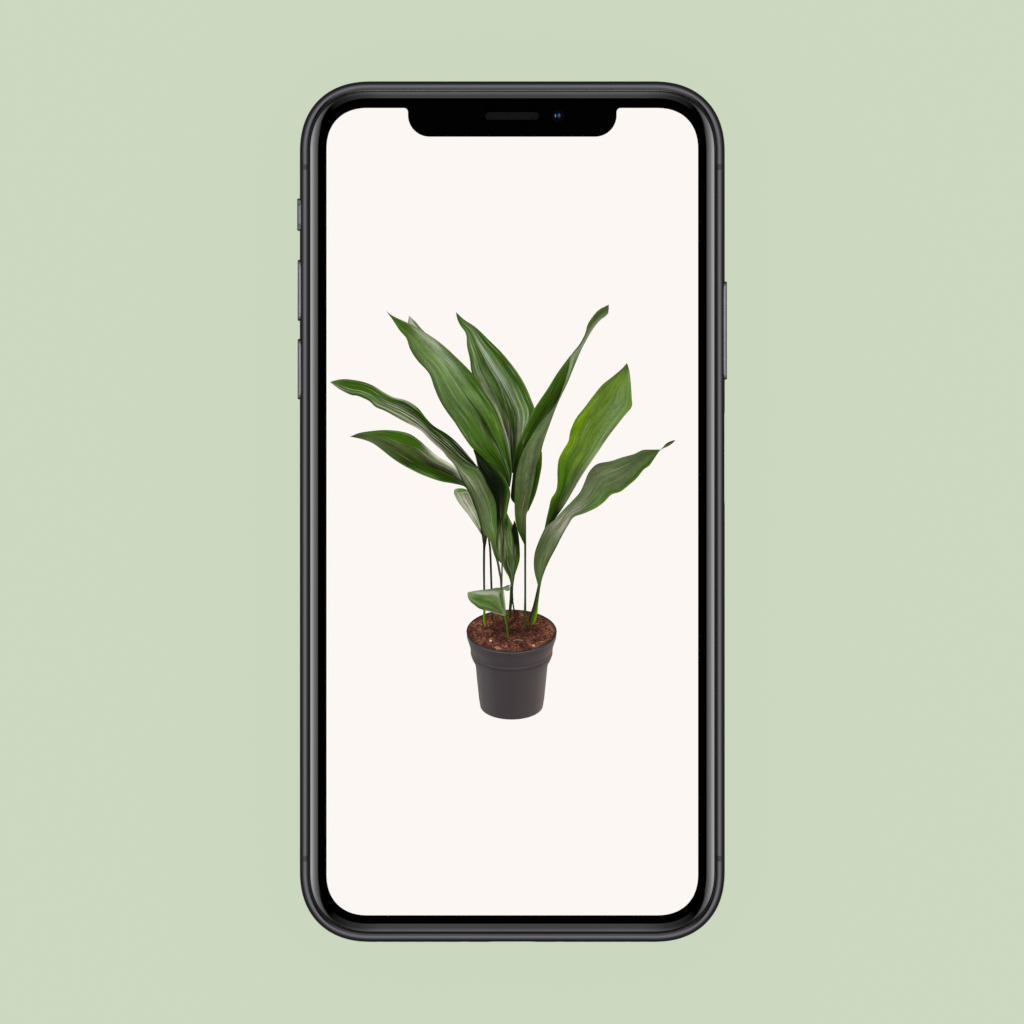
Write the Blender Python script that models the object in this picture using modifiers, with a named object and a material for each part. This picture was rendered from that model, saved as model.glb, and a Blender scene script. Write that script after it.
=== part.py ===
"""A smartphone with a notched screen, glass front and back, a steel band, press buttons and a card tray.

The phone lies on its back. X runs across it to the right of the screen, Y up the screen and Z out of the
screen. The origin is under the middle of the body, level with the face of the rear camera plateau.
"""

import math

import bmesh
import bpy
from mathutils import Matrix, Vector

MM = 0.001

# Body
HALF_WIDTH = 35.45 * MM
HALF_HEIGHT = 71.8 * MM
CORNER_RADIUS = 12.02 * MM
CORNER_POWER = 2.3
CORNER_SHRINK = 1.126
CORNER_STEPS = 9
PLATEAU_PROUD = 0.9 * MM
THICKNESS = 7.7 * MM

# Running and seating gaps
SEAT = 0.3 * MM
CLOSE = 0.1 * MM
RUNNING = 0.15 * MM

# How far a cutter runs past what it cuts, and the thickness of a flat cutter
OVERRUN = 1.0 * MM
CUTTER = 4.0 * MM

# Levels from the back to the front
BACK_FACE = PLATEAU_PROUD
FRONT_FACE = BACK_FACE + THICKNESS
MIDDLE = (BACK_FACE + FRONT_FACE) / 2
BACK_GLASS_IN = BACK_FACE + 0.7 * MM
PLATE_LOW = BACK_GLASS_IN + SEAT
PLATE_HIGH = PLATE_LOW + 0.4 * MM
BAY_LOW = PLATE_HIGH + SEAT
COVER_IN = FRONT_FACE - 0.8 * MM
PANEL_HIGH = COVER_IN - SEAT
PANEL_LOW = PANEL_HIGH - 1.0 * MM
BAY_HIGH = PANEL_LOW - SEAT
EDGE_DROP = 0.45 * MM

# Steel band and the glass let into it, as distances in from the outline
BAND_DEPTH = 1.35 * MM
BAND_INNER = 2.6 * MM
BAND_POWER = 2.5
BAND_STEPS = 12
LEDGE = 6.9 * MM
GLASS_EDGE = 1.65 * MM
GLASS_FLAT = 2.99 * MM
GLASS_DROP = 0.5 * MM
GLASS_STEPS = 5
FRAME_INNER = 2.9 * MM
PANEL_EDGE = 3.2 * MM
SCREEN_EDGE = 4.35 * MM
ANTENNA_UPPER = 57.5 * MM
ANTENNA_LOWER = -57.9 * MM
ANTENNA_WIDTH = 0.95 * MM

# Notch, earpiece and face sensors
NOTCH_HALF = 17.4 * MM
NOTCH_DEPTH = 4.93 * MM
NOTCH_RADIUS = 3.6 * MM
SENSOR_Y = 66.03 * MM
EARPIECE_SLOT = (9.0 * MM, 1.28 * MM)
EARPIECE_MESH = (10.4 * MM, 2.3 * MM)
FRONT_CAMERA_X = 7.64 * MM
FACE_SENSORS_X = 13.5 * MM
SENSOR_BARREL = 1.2 * MM
SENSOR_HALF = 2.3 * MM
SENSOR_LOW = 3.4 * MM
SENSOR_HIGH = 6.8 * MM
BRACKET_SIZE = (33.6 * MM, 4.5 * MM)
BRACKET_DROP = 0.1 * MM
BRACKET_LOW = 7.1 * MM
SCREEN_STEPS = 6

# Buttons on the band: where each middle lies along Y, and its length
RING_SWITCH = (49.55 * MM, 5.43 * MM)
VOLUME_UP = (36.92 * MM, 10.2 * MM)
VOLUME_DOWN = (23.78 * MM, 10.1 * MM)
SIDE_BUTTON = (30.21 * MM, 16.4 * MM)
BUTTON_WIDTH = 2.8 * MM
BUTTON_PROUD = 0.37 * MM
SWITCH_WIDTH = 1.9 * MM
SWITCH_PROUD = 0.45 * MM
SWITCH_TRAVEL = 0.8 * MM
POCKET_AT = 1.5 * MM
POCKET_WIDTH = 3.8 * MM
FLANGE_REACH = 0.6 * MM
FLANGE_THICK = 0.5 * MM
NUB_RADIUS = 0.6 * MM
NUB_LENGTH = 0.4 * MM
SIDE_NUBS = 4.0 * MM
CAP_EDGE = 0.18 * MM
SWITCH_BOARD_AT = 2.85 * MM
SWITCH_BOARD_THICK = 0.75 * MM
SWITCH_BOARD_WIDTH = 3.0 * MM
VOLUME_BOARD_REACH = 6.0 * MM
RING_BOARD_REACH = 4.0 * MM
SIDE_BOARD_REACH = 8.0 * MM

# Card tray in the right side
TRAY_Y = 9.0 * MM
TRAY_DOOR = (15.7 * MM, 2.4 * MM)
TRAY_DOOR_THICK = 1.1 * MM
TRAY_STEP = 1.35 * MM
TRAY_WIDTH = 13.2 * MM
TRAY_THICK = 0.8 * MM
TRAY_REACH = 25.0 * MM
TRAY_SUNK = 0.05 * MM
CARD_SIZE = (8.8 * MM, 12.3 * MM)
CARD_RIM = 1.6 * MM
PIN_HOLE = (7.15 * MM, 0.35 * MM)
READER_WALL = 0.5 * MM

# Lower end: charging port, screws and sound holes
PORT_BORE = (8.4 * MM, 2.6 * MM)
PORT_WALL = 0.4 * MM
PORT_DEPTH = 7.0 * MM
SCREW_X = 7.9 * MM
SCREW_HEAD = 0.85 * MM
SCREW_HEAD_THICK = 0.65 * MM
SCREW_SUNK = 0.15 * MM
SCREW_SEAT_DEPTH = 0.95 * MM
SCREW_SHANK = 0.5 * MM
SCREW_TIP = 4.2 * MM
SCREW_SOCKET = 0.4 * MM
SOCKET_SIDES = 5
SOUND_HOLES = 6
SOUND_HOLE_RADIUS = 0.75 * MM
SOUND_HOLE_FIRST = 11.6 * MM
SOUND_HOLE_PITCH = 2.6 * MM

# Rear camera plateau
PLATEAU_X = 23.4 * MM
PLATEAU_Y = 53.4 * MM
PLATEAU_SIZE = (22.8 * MM, 10.8 * MM)
LENS_OFFSET = 6.1 * MM
LENS_COVER = 3.7 * MM
LENS_COVER_HIGH = 0.6 * MM
LENS_SEAT = 0.8 * MM
LENS_BARREL = 2.7 * MM
FLASH_COVER = 1.25 * MM
FLASH_LAMP = 1.0 * MM
CAMERA_HALF = 4.7 * MM

# Charging coil
COIL_Y = -5.0 * MM
COIL_OUTER = 24.0 * MM
COIL_INNER = 10.0 * MM

# Footprints of the blocks in the bay, as their lower left and upper right corners
MAIN_CELL = ((-31.2 * MM, -56.5 * MM), (-0.6 * MM, 42.0 * MM))
LOWER_CELL = ((-0.2 * MM, -50.5 * MM), (31.2 * MM, -20.0 * MM))
LOGIC_BOARD = ((0.0, -19.4 * MM), (31.2 * MM, 41.8 * MM))
UPPER_SHIELD = ((0.8 * MM, 18.6 * MM), (30.6 * MM, 41.2 * MM))
LOWER_SHIELD = ((0.8 * MM, -18.8 * MM), (30.6 * MM, -0.6 * MM))
RADIO = ((-31.2 * MM, 43.0 * MM), (-8.0 * MM, 60.0 * MM))
UPPER_FLEX = ((-7.4 * MM, 43.0 * MM), (17.9 * MM, 62.8 * MM))
EARPIECE_SPEAKER = ((-5.3 * MM, 63.4 * MM), (4.9 * MM, 68.5 * MM))
LOUDSPEAKER = ((10.2 * MM, -68.6 * MM), (31.4 * MM, -51.0 * MM))
MOTOR = ((-31.4 * MM, -68.6 * MM), (-10.2 * MM, -57.0 * MM))
BOARD_THICK = 0.6 * MM
FLEX_THICK = 0.8 * MM
CORNER_CLIP = 5.0 * MM

# Softened edges of the cells, of the loudspeaker and the motor, and of the small blocks
CELL_EDGE = 1.0 * MM
MODULE_EDGE = 0.5 * MM
BLOCK_EDGE = 0.3 * MM

# Sides and steps of round shapes
PILL_STEPS = 8
COIL_SIDES = 48
ROUND_SIDES = 32
BARREL_SIDES = 24
SCREW_SIDES = 16
SMALL_SIDES = 12

# The least distance between two points, and the angle from which an edge is sharp
WELD = 0.001 * MM
SHARP = math.radians(35)

# Colour, roughness and metallic value of each finish
STEEL = ((0.075, 0.073, 0.080), 0.22, 1.0)
BRIGHT_STEEL = ((0.45, 0.45, 0.46), 0.30, 1.0)
ANTENNA_PLASTIC = ((0.060, 0.059, 0.066), 0.45, 0.0)
COVER_GLASS = ((0.010, 0.010, 0.012), 0.03, 0.0)
BACK_GLASS = ((0.018, 0.018, 0.021), 0.06, 0.0)
BLACK_PLASTIC = ((0.015, 0.015, 0.016), 0.50, 0.0)
SCREEN = ((0.97, 0.93, 0.90), 0.20, 0.0)
LENS_GLASS = ((0.010, 0.012, 0.020), 0.03, 0.0)
MESH_METAL = ((0.030, 0.030, 0.030), 0.60, 0.6)
BATTERY_FOIL = ((0.040, 0.040, 0.042), 0.45, 0.0)
BOARD_GREEN = ((0.020, 0.060, 0.040), 0.50, 0.0)
COPPER = ((0.72, 0.38, 0.22), 0.35, 1.0)
FLASH_LENS = ((0.85, 0.80, 0.62), 0.25, 0.0)


def clear_scene():
    """Removes what the startup scene holds."""
    for old in list(bpy.data.objects):
        bpy.data.objects.remove(old, do_unlink=True)


def make_collection(name):
    """A new collection in the scene."""
    collection = bpy.data.collections.new(name)
    bpy.context.scene.collection.children.link(collection)
    return collection


def material(name, finish):
    """A Principled material from a colour, a roughness and a metallic value."""
    colour, roughness, metallic = finish
    made = bpy.data.materials.new(name)
    made.use_nodes = True
    shader = made.node_tree.nodes["Principled BSDF"]
    shader.inputs["Base Color"].default_value = (*colour, 1.0)
    shader.inputs["Roughness"].default_value = roughness
    shader.inputs["Metallic"].default_value = metallic
    return made


def new_object(name, shape):
    """An object in the phone's collection from a bmesh, whose faces it turns outwards."""
    bmesh.ops.recalc_face_normals(shape, faces=shape.faces)
    mesh = bpy.data.meshes.new(name)
    shape.to_mesh(mesh)
    shape.free()
    mesh.shade_smooth()
    mesh.set_sharp_from_angle(angle=SHARP)
    made = bpy.data.objects.new(name, mesh)
    PHONE.objects.link(made)
    return made


def finish_piece(piece, finish):
    """Gives a piece its own material."""
    piece.data.materials.clear()
    piece.data.materials.append(material(piece.name, finish))
    return piece


def set_origin(piece, point):
    """Moves a piece's origin to a point without moving its shape."""
    piece.data.transform(Matrix.Translation(-Vector(point)))
    piece.location = point
    return piece


def helper(piece):
    """Takes a shape out of the phone, so that it only cuts or joins."""
    PHONE.objects.unlink(piece)
    HELPERS.objects.link(piece)
    piece.hide_render = True
    piece.display_type = "WIRE"
    return piece


def combine(piece, others, operation):
    """Cuts or joins other shapes with a piece, one Boolean each."""
    for other in others:
        boolean = piece.modifiers.new(operation.lower(), "BOOLEAN")
        boolean.operation = operation
        boolean.object = helper(other)
    return piece


def cut(piece, others):
    """Cuts other shapes from a piece."""
    return combine(piece, others, "DIFFERENCE")


def join(piece, others):
    """Joins other shapes to a piece."""
    return combine(piece, others, "UNION")


def soften(piece, width):
    """Breaks the sharp edges of a piece by a given width."""
    bevel = piece.modifiers.new("soft_edges", "BEVEL")
    bevel.width = width
    bevel.segments = 1
    bevel.limit_method = "ANGLE"
    return piece


def loft(name, rings, closed=False):
    """A solid through rings of equally many points, capped at its ends unless it closes on itself."""
    shape = bmesh.new()
    rows = [[shape.verts.new(point) for point in ring] for ring in rings]
    pairs = list(zip(rows, rows[1:]))
    if closed:
        pairs.append((rows[-1], rows[0]))
    else:
        shape.faces.new(rows[0])
        shape.faces.new(rows[-1])
    for low, high in pairs:
        for here in range(len(low)):
            after = (here + 1) % len(low)
            shape.faces.new((low[here], low[after], high[after], high[here]))
    return new_object(name, shape)


def rounded_outline(half_x, half_y, radius, power, steps):
    """Points round a rectangle with superellipse corners, from the lower end of the upper right corner."""
    centre_x = half_x - radius
    centre_y = half_y - radius
    points = []
    for sign_x, sign_y in ((1, 1), (-1, 1), (-1, -1), (1, -1)):
        for step in range(steps + 1):
            angle = math.pi / 2 * step / steps
            if sign_x != sign_y:
                angle = math.pi / 2 - angle
            along = abs(math.cos(angle)) ** (2 / power)
            up = abs(math.sin(angle)) ** (2 / power)
            points.append((sign_x * (centre_x + radius * along), sign_y * (centre_y + radius * up)))
    return points


def body_outline(inset):
    """The body's outline, moved in."""
    radius = CORNER_RADIUS - CORNER_SHRINK * inset
    return rounded_outline(HALF_WIDTH - inset, HALF_HEIGHT - inset, radius, CORNER_POWER, CORNER_STEPS)


def body_stack(levels):
    """Rings of the body's outline from pairs of an inset and a height."""
    return [[(x, y, height) for x, y in body_outline(inset)] for inset, height in levels]


def pill_outline(length, width):
    """A slot's outline round the origin, with its length along X and half-round ends."""
    radius = width / 2
    reach = length / 2 - radius
    points = []
    for side in (1, -1):
        for step in range(PILL_STEPS + 1):
            angle = math.pi * (step / PILL_STEPS - 0.5)
            points.append((side * (reach + radius * math.cos(angle)), side * radius * math.sin(angle)))
    return points


def oblong_outline(length, width):
    """A rectangle's outline round the origin, with its length along X."""
    x = length / 2
    y = width / 2
    return [(x, -y), (x, y), (-x, y), (-x, -y)]


FACING = {
    "up": Matrix.Identity(4),
    "side": Matrix(((0, 0, 1, 0), (1, 0, 0, 0), (0, 1, 0, 0), (0, 0, 0, 1))),
    "end": Matrix(((1, 0, 0, 0), (0, 0, -1, 0), (0, 1, 0, 0), (0, 0, 0, 1))),
}


def plate(name, points, thickness, centre, facing="up"):
    """A flat outline with a thickness round a centre. It lies flat, or faces the side or the end."""
    curve = bpy.data.curves.new(name, "CURVE")
    curve.dimensions = "2D"
    curve.fill_mode = "BOTH"
    curve.extrude = thickness / 2
    spline = curve.splines.new("POLY")
    spline.points.add(len(points) - 1)
    for target, (x, y) in zip(spline.points, points):
        target.co = (x, y, 0, 1)
    spline.use_cyclic_u = True
    guide = bpy.data.objects.new(name + "_guide", curve)
    PHONE.objects.link(guide)
    bpy.context.view_layer.update()
    evaluated = guide.evaluated_get(bpy.context.evaluated_depsgraph_get())
    mesh = bpy.data.meshes.new_from_object(evaluated)
    shape = bmesh.new()
    shape.from_mesh(mesh)
    bmesh.ops.remove_doubles(shape, verts=shape.verts, dist=WELD)
    bmesh.ops.transform(shape, matrix=Matrix.Translation(centre) @ FACING[facing], verts=shape.verts)
    bpy.data.objects.remove(guide)
    bpy.data.meshes.remove(mesh)
    return new_object(name, shape)


def box(name, low, high):
    """A box between two corners."""
    low = Vector(low)
    high = Vector(high)
    shape = bmesh.new()
    sizes = Matrix.Diagonal((*(high - low), 1.0))
    bmesh.ops.create_cube(shape, size=1.0, matrix=Matrix.Translation((low + high) / 2) @ sizes)
    return new_object(name, shape)


def block(name, footprint, low, high, finish, edge=0.0):
    """A finished block over a footprint between two levels, with its edges softened by a given width."""
    (left, lower), (right, upper) = footprint
    made = box(name, (left, lower, low), (right, upper, high))
    if edge:
        soften(made, edge)
    return finish_piece(made, finish)


def rod(name, start, end, radius, sides=ROUND_SIDES):
    """A round rod between two points."""
    start = Vector(start)
    end = Vector(end)
    shape = bmesh.new()
    turn = (end - start).to_track_quat("Z", "Y").to_matrix().to_4x4()
    bmesh.ops.create_cone(
        shape,
        cap_ends=True,
        segments=sides,
        radius1=radius,
        radius2=radius,
        depth=(end - start).length,
        matrix=Matrix.Translation((start + end) / 2) @ turn,
    )
    return new_object(name, shape)


def band_profile():
    """The band's section as pairs of an inset and a height: a bulging outside and ledges for both glasses."""
    half = (THICKNESS - 2 * EDGE_DROP) / 2
    points = []
    for step in range(BAND_STEPS + 1):
        angle = math.pi * (step / BAND_STEPS - 0.5)
        inset = BAND_DEPTH * (1 - abs(math.cos(angle)) ** (2 / BAND_POWER))
        rise = half * math.copysign(abs(math.sin(angle)) ** (2 / BAND_POWER), angle)
        points.append((inset, MIDDLE + rise))
    points.append((BAND_DEPTH, LEDGE))
    points.append((BAND_INNER, LEDGE))
    points.append((BAND_INNER, PLATE_LOW))
    points.append((BAND_DEPTH, PLATE_LOW))
    return points


def upper_run(inset):
    """The band's upper end, from its right side round to its left side."""
    x = HALF_WIDTH - inset
    y = ANTENNA_UPPER + ANTENNA_WIDTH / 2
    return [(x, y), *body_outline(inset)[: 2 * (CORNER_STEPS + 1)], (-x, y)]


def lower_run(inset):
    """The band's lower end, from its left side round to its right side."""
    x = HALF_WIDTH - inset
    y = ANTENNA_LOWER - ANTENNA_WIDTH / 2
    return [(-x, y), *body_outline(inset)[2 * (CORNER_STEPS + 1) :], (x, y)]


def side_run(side, high, low):
    """A straight run of the band on one side, as a function of the inset."""
    return lambda inset: [(side * (HALF_WIDTH - inset), high), (side * (HALF_WIDTH - inset), low)]


def band_piece(name, run):
    """The band's section swept along a run of the outline."""
    profile = band_profile()
    columns = [run(inset) for inset, height in profile]
    sections = []
    for section in zip(*columns):
        sections.append([(x, y, height) for (x, y), (inset, height) in zip(section, profile)])
    return loft(name, sections)


def press_cutters(side, place):
    """What a press button takes from the band: its slot, and a pocket for its flange."""
    y, length = place
    slot = plate(
        "slot",
        pill_outline(length + 2 * RUNNING, BUTTON_WIDTH + 2 * RUNNING),
        2 * BAND_INNER,
        (side * HALF_WIDTH, y, MIDDLE),
        "side",
    )
    return [slot, pocket_cutter(side, y, length)]


def pocket_cutter(side, y, length):
    """The pocket behind a button, open to the inside of the band."""
    reach = length / 2 + FLANGE_REACH + RUNNING
    near = side * (HALF_WIDTH - POCKET_AT)
    far = side * (HALF_WIDTH - BAND_INNER - OVERRUN)
    return box(
        "pocket",
        (min(near, far), y - reach, MIDDLE - POCKET_WIDTH / 2),
        (max(near, far), y + reach, MIDDLE + POCKET_WIDTH / 2),
    )


def switch_cutters():
    """What the ring switch takes from the band: a slot tall enough for its travel, and its pocket."""
    y, length = RING_SWITCH
    tall = SWITCH_WIDTH + SWITCH_TRAVEL + 2 * RUNNING
    corner = SWITCH_WIDTH / 2 + RUNNING
    outline = rounded_outline(length / 2 + RUNNING, tall / 2, corner, 2.0, PILL_STEPS // 2)
    slot = plate("slot", outline, 2 * BAND_INNER, (-HALF_WIDTH, y, MIDDLE), "side")
    return [slot, pocket_cutter(-1, y, length)]


def tray_cutters():
    """What the card tray takes from the band: a recess for its door and a slot for the tray behind it."""
    length, width = TRAY_DOOR
    door = plate(
        "door",
        pill_outline(length + 2 * RUNNING, width + 2 * RUNNING),
        2 * TRAY_STEP,
        (HALF_WIDTH, TRAY_Y, MIDDLE),
        "side",
    )
    half = TRAY_WIDTH / 2 + RUNNING
    tall = TRAY_THICK / 2 + RUNNING
    slot = box(
        "tray_slot",
        (HALF_WIDTH - 2 * BAND_INNER, TRAY_Y - half, MIDDLE - tall),
        (HALF_WIDTH - BAND_DEPTH / 2, TRAY_Y + half, MIDDLE + tall),
    )
    return [door, slot]


def end_bore(x, radius, reach, sides):
    """A round cutter into the lower end of the band, as deep as its reach."""
    y = -HALF_HEIGHT
    return rod("bore", (x, y - BAND_DEPTH, MIDDLE), (x, y + reach, MIDDLE), radius, sides)


def lower_cutters():
    """What the lower end takes from the band: the port, the screws' seats and the sound holes."""
    through = BAND_INNER + OVERRUN
    port = plate("port", pill_outline(*PORT_BORE), 2 * through, (0, -HALF_HEIGHT, MIDDLE), "end")
    cutters = [port]
    for side in (-1, 1):
        x = side * SCREW_X
        cutters.append(end_bore(x, SCREW_HEAD + RUNNING, SCREW_SEAT_DEPTH, SCREW_SIDES))
        cutters.append(end_bore(x, SCREW_SHANK + RUNNING, through, SMALL_SIDES))
        for hole in range(SOUND_HOLES):
            x = side * (SOUND_HOLE_FIRST + hole * SOUND_HOLE_PITCH)
            cutters.append(end_bore(x, SOUND_HOLE_RADIUS, through, SMALL_SIDES))
    return cutters


def make_band():
    """The steel band in four pieces, parted by the antenna inserts."""
    high = ANTENNA_UPPER - ANTENNA_WIDTH / 2
    low = ANTENNA_LOWER + ANTENNA_WIDTH / 2
    upper = band_piece("steel_band_top", upper_run)
    left = band_piece("steel_band_left", side_run(-1, high, low))
    right = band_piece("steel_band_right", side_run(1, high, low))
    lower = band_piece("steel_band_bottom", lower_run)
    cut(left, press_cutters(-1, VOLUME_UP) + press_cutters(-1, VOLUME_DOWN) + switch_cutters())
    cut(right, press_cutters(1, SIDE_BUTTON) + tray_cutters())
    cut(lower, lower_cutters())
    for piece in (upper, left, right, lower):
        finish_piece(piece, STEEL)
    half = ANTENNA_WIDTH / 2 - CLOSE
    for side, side_name in ((-1, "left"), (1, "right")):
        for middle, end_name in ((ANTENNA_UPPER, "upper"), (ANTENNA_LOWER, "lower")):
            run = side_run(side, middle + half, middle - half)
            insert = band_piece(f"antenna_insert_{end_name}_{side_name}", run)
            finish_piece(insert, ANTENNA_PLASTIC)


def glass_levels(inner, face, outward):
    """Insets and heights of a glass whose edge curves down from its face. Outward is 1 in front, -1 behind."""
    levels = [(GLASS_EDGE, inner)]
    for step in range(GLASS_STEPS + 1):
        angle = math.pi / 2 * step / GLASS_STEPS
        inset = GLASS_EDGE + (GLASS_FLAT - GLASS_EDGE) * (1 - math.cos(angle))
        levels.append((inset, face - outward * GLASS_DROP * (1 - math.sin(angle))))
    return levels


def make_glasses():
    """The front cover glass with its earpiece slot, and the back glass with its opening for the plateau."""
    front = loft("cover_glass", body_stack(glass_levels(COVER_IN, FRONT_FACE, 1)))
    slot = plate("earpiece_slot", pill_outline(*EARPIECE_SLOT), CUTTER, (0, SENSOR_Y, FRONT_FACE))
    cut(front, [slot])
    finish_piece(front, COVER_GLASS)
    back = loft("back_glass", body_stack(glass_levels(BACK_GLASS_IN, BACK_FACE, -1)))
    length, width = PLATEAU_SIZE
    outline = turned(pill_outline(length + SEAT, width + SEAT))
    opening = plate("plateau_opening", outline, CUTTER, plateau_at(BACK_FACE))
    cut(back, [opening])
    finish_piece(back, BACK_GLASS)


def turned(points):
    """An outline turned a quarter, so that its length runs along Y."""
    return [(-y, x) for x, y in points]


def plateau_at(height):
    """The middle of the camera plateau at a height."""
    return (PLATEAU_X, PLATEAU_Y, height)


def screen_outline(edge, notch_half, notch_depth, steps):
    """The screen's outline, whose upper edge is cut by the notch for the earpiece and the sensors."""
    radius = CORNER_RADIUS - CORNER_SHRINK * edge
    outline = rounded_outline(HALF_WIDTH - edge, HALF_HEIGHT - edge, radius, CORNER_POWER, steps)
    top = HALF_HEIGHT - edge
    notch = [(notch_half, top)]
    for side in (1, -1):
        for step in range(steps + 1):
            angle = math.pi / 2 * step / steps
            if side < 0:
                angle = math.pi / 2 - angle
            x = side * (notch_half - NOTCH_RADIUS * (1 - math.cos(angle)))
            notch.append((x, top - notch_depth + NOTCH_RADIUS * (1 - math.sin(angle))))
    notch.append((-notch_half, top))
    return outline[: steps + 1] + notch + outline[steps + 1 :]


def make_display():
    """The lit panel behind the cover glass, and the plastic frame that carries the glass on the band."""
    depth = NOTCH_DEPTH + SCREEN_EDGE - PANEL_EDGE
    thickness = PANEL_HIGH - PANEL_LOW
    centre = (0, 0, (PANEL_HIGH + PANEL_LOW) / 2)
    outline = screen_outline(PANEL_EDGE, NOTCH_HALF, depth, SCREEN_STEPS)
    panel = plate("display_panel", outline, thickness, centre)
    finish_piece(panel, SCREEN)
    low = LEDGE + SEAT
    section = ((GLASS_EDGE, low), (GLASS_EDGE, PANEL_HIGH), (FRAME_INNER, PANEL_HIGH), (FRAME_INNER, low))
    frame = loft("display_frame", body_stack(section), closed=True)
    finish_piece(frame, BLACK_PLASTIC)


def make_sensors():
    """The bracket under the notch, with the earpiece, the front camera and the two face sensors."""
    y = SENSOR_Y
    centre = (0, y - BRACKET_DROP, (PANEL_HIGH + BRACKET_LOW) / 2)
    bracket = plate("sensor_bracket", pill_outline(*BRACKET_SIZE), PANEL_HIGH - BRACKET_LOW, centre)
    length, width = EARPIECE_MESH
    window = plate("mesh_window", pill_outline(length + 2 * SEAT, width + 2 * SEAT), CUTTER, centre)
    places = {
        "front_camera": FRONT_CAMERA_X,
        "infrared_camera": -FACE_SENSORS_X,
        "dot_projector": FACE_SENSORS_X,
    }
    holes = [window]
    for x in places.values():
        radius = SENSOR_BARREL + RUNNING
        holes.append(rod("sensor_hole", (x, y, SENSOR_HIGH), (x, y, COVER_IN), radius, BARREL_SIDES))
    cut(bracket, holes)
    finish_piece(bracket, BRIGHT_STEEL)
    mesh = plate("earpiece_mesh", pill_outline(length, width), SEAT, (0, y, PANEL_HIGH - SEAT / 2))
    finish_piece(mesh, MESH_METAL)
    block("earpiece_speaker", EARPIECE_SPEAKER, SENSOR_LOW, SENSOR_HIGH, BLACK_PLASTIC, BLOCK_EDGE)
    for name, x in places.items():
        footprint = ((x - SENSOR_HALF, y - SENSOR_HALF), (x + SENSOR_HALF, y + SENSOR_HALF))
        module = block(name, footprint, SENSOR_LOW, SENSOR_HIGH, BLACK_PLASTIC)
        start = (x, y, SENSOR_HIGH - SEAT)
        join(module, [rod("barrel", start, (x, y, PANEL_HIGH), SENSOR_BARREL, BARREL_SIDES)])


def press_button(name, side, place, nubs):
    """A press button: a cap that stands proud of the band, a flange that keeps it in, and its nubs."""
    y, length = place
    outer = HALF_WIDTH + BUTTON_PROUD
    flange_outer = HALF_WIDTH - POCKET_AT - RUNNING
    flange_inner = flange_outer - FLANGE_THICK
    cap_inner = flange_inner + FLANGE_THICK / 2
    cap = plate(
        name,
        pill_outline(length, BUTTON_WIDTH),
        outer - cap_inner,
        (side * (outer + cap_inner) / 2, y, MIDDLE),
        "side",
    )
    soften(cap, CAP_EDGE)
    flange = plate(
        "flange",
        pill_outline(length + 2 * FLANGE_REACH, POCKET_WIDTH - 2 * RUNNING),
        FLANGE_THICK,
        (side * (flange_outer + flange_inner) / 2, y, MIDDLE),
        "side",
    )
    parts = [flange]
    for offset in nubs:
        start = (side * (flange_inner + FLANGE_THICK / 2), y + offset, MIDDLE)
        end = (side * (flange_inner - NUB_LENGTH), y + offset, MIDDLE)
        parts.append(rod("nub", start, end, NUB_RADIUS, SMALL_SIDES))
    join(cap, parts)
    set_origin(cap, (side * HALF_WIDTH, y, MIDDLE))
    return finish_piece(cap, STEEL)


def make_ring_switch():
    """The ring switch, a small slider that moves between the front and the back of its slot."""
    y, length = RING_SWITCH
    height = MIDDLE + SWITCH_TRAVEL / 2
    outer = HALF_WIDTH + SWITCH_PROUD
    flange_outer = HALF_WIDTH - POCKET_AT - RUNNING
    flange_inner = flange_outer - FLANGE_THICK
    cap_inner = flange_inner + FLANGE_THICK / 2
    centre = (-(outer + cap_inner) / 2, y, height)
    slider = plate("ring_switch", pill_outline(length, SWITCH_WIDTH), outer - cap_inner, centre, "side")
    soften(slider, CAP_EDGE)
    wide = POCKET_WIDTH - 2 * RUNNING - SWITCH_TRAVEL
    flange = plate(
        "switch_flange",
        oblong_outline(length + 2 * FLANGE_REACH, wide),
        FLANGE_THICK,
        (-(flange_outer + flange_inner) / 2, y, height),
        "side",
    )
    join(slider, [flange])
    set_origin(slider, (-HALF_WIDTH, y, height))
    finish_piece(slider, STEEL)


def switch_board(name, side, low, high):
    """The board behind the buttons, which carries their spring domes."""
    near = side * (HALF_WIDTH - SWITCH_BOARD_AT)
    far = side * (HALF_WIDTH - SWITCH_BOARD_AT - SWITCH_BOARD_THICK)
    footprint = ((min(near, far), low), (max(near, far), high))
    half = SWITCH_BOARD_WIDTH / 2
    return block(name, footprint, MIDDLE - half, MIDDLE + half, BOARD_GREEN)


def make_buttons():
    """The press buttons and the ring switch with the boards behind them."""
    press_button("volume_up_button", -1, VOLUME_UP, (0,))
    press_button("volume_down_button", -1, VOLUME_DOWN, (0,))
    press_button("side_button", 1, SIDE_BUTTON, (-SIDE_NUBS, SIDE_NUBS))
    make_ring_switch()
    boards = (
        ("volume_switch_board", -1, VOLUME_DOWN[0], VOLUME_UP[0], VOLUME_BOARD_REACH),
        ("ring_switch_board", -1, RING_SWITCH[0], RING_SWITCH[0], RING_BOARD_REACH),
        ("side_switch_board", 1, SIDE_BUTTON[0], SIDE_BUTTON[0], SIDE_BOARD_REACH),
    )
    for name, side, low, high, reach in boards:
        switch_board(name, side, low - reach, high + reach)


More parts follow.
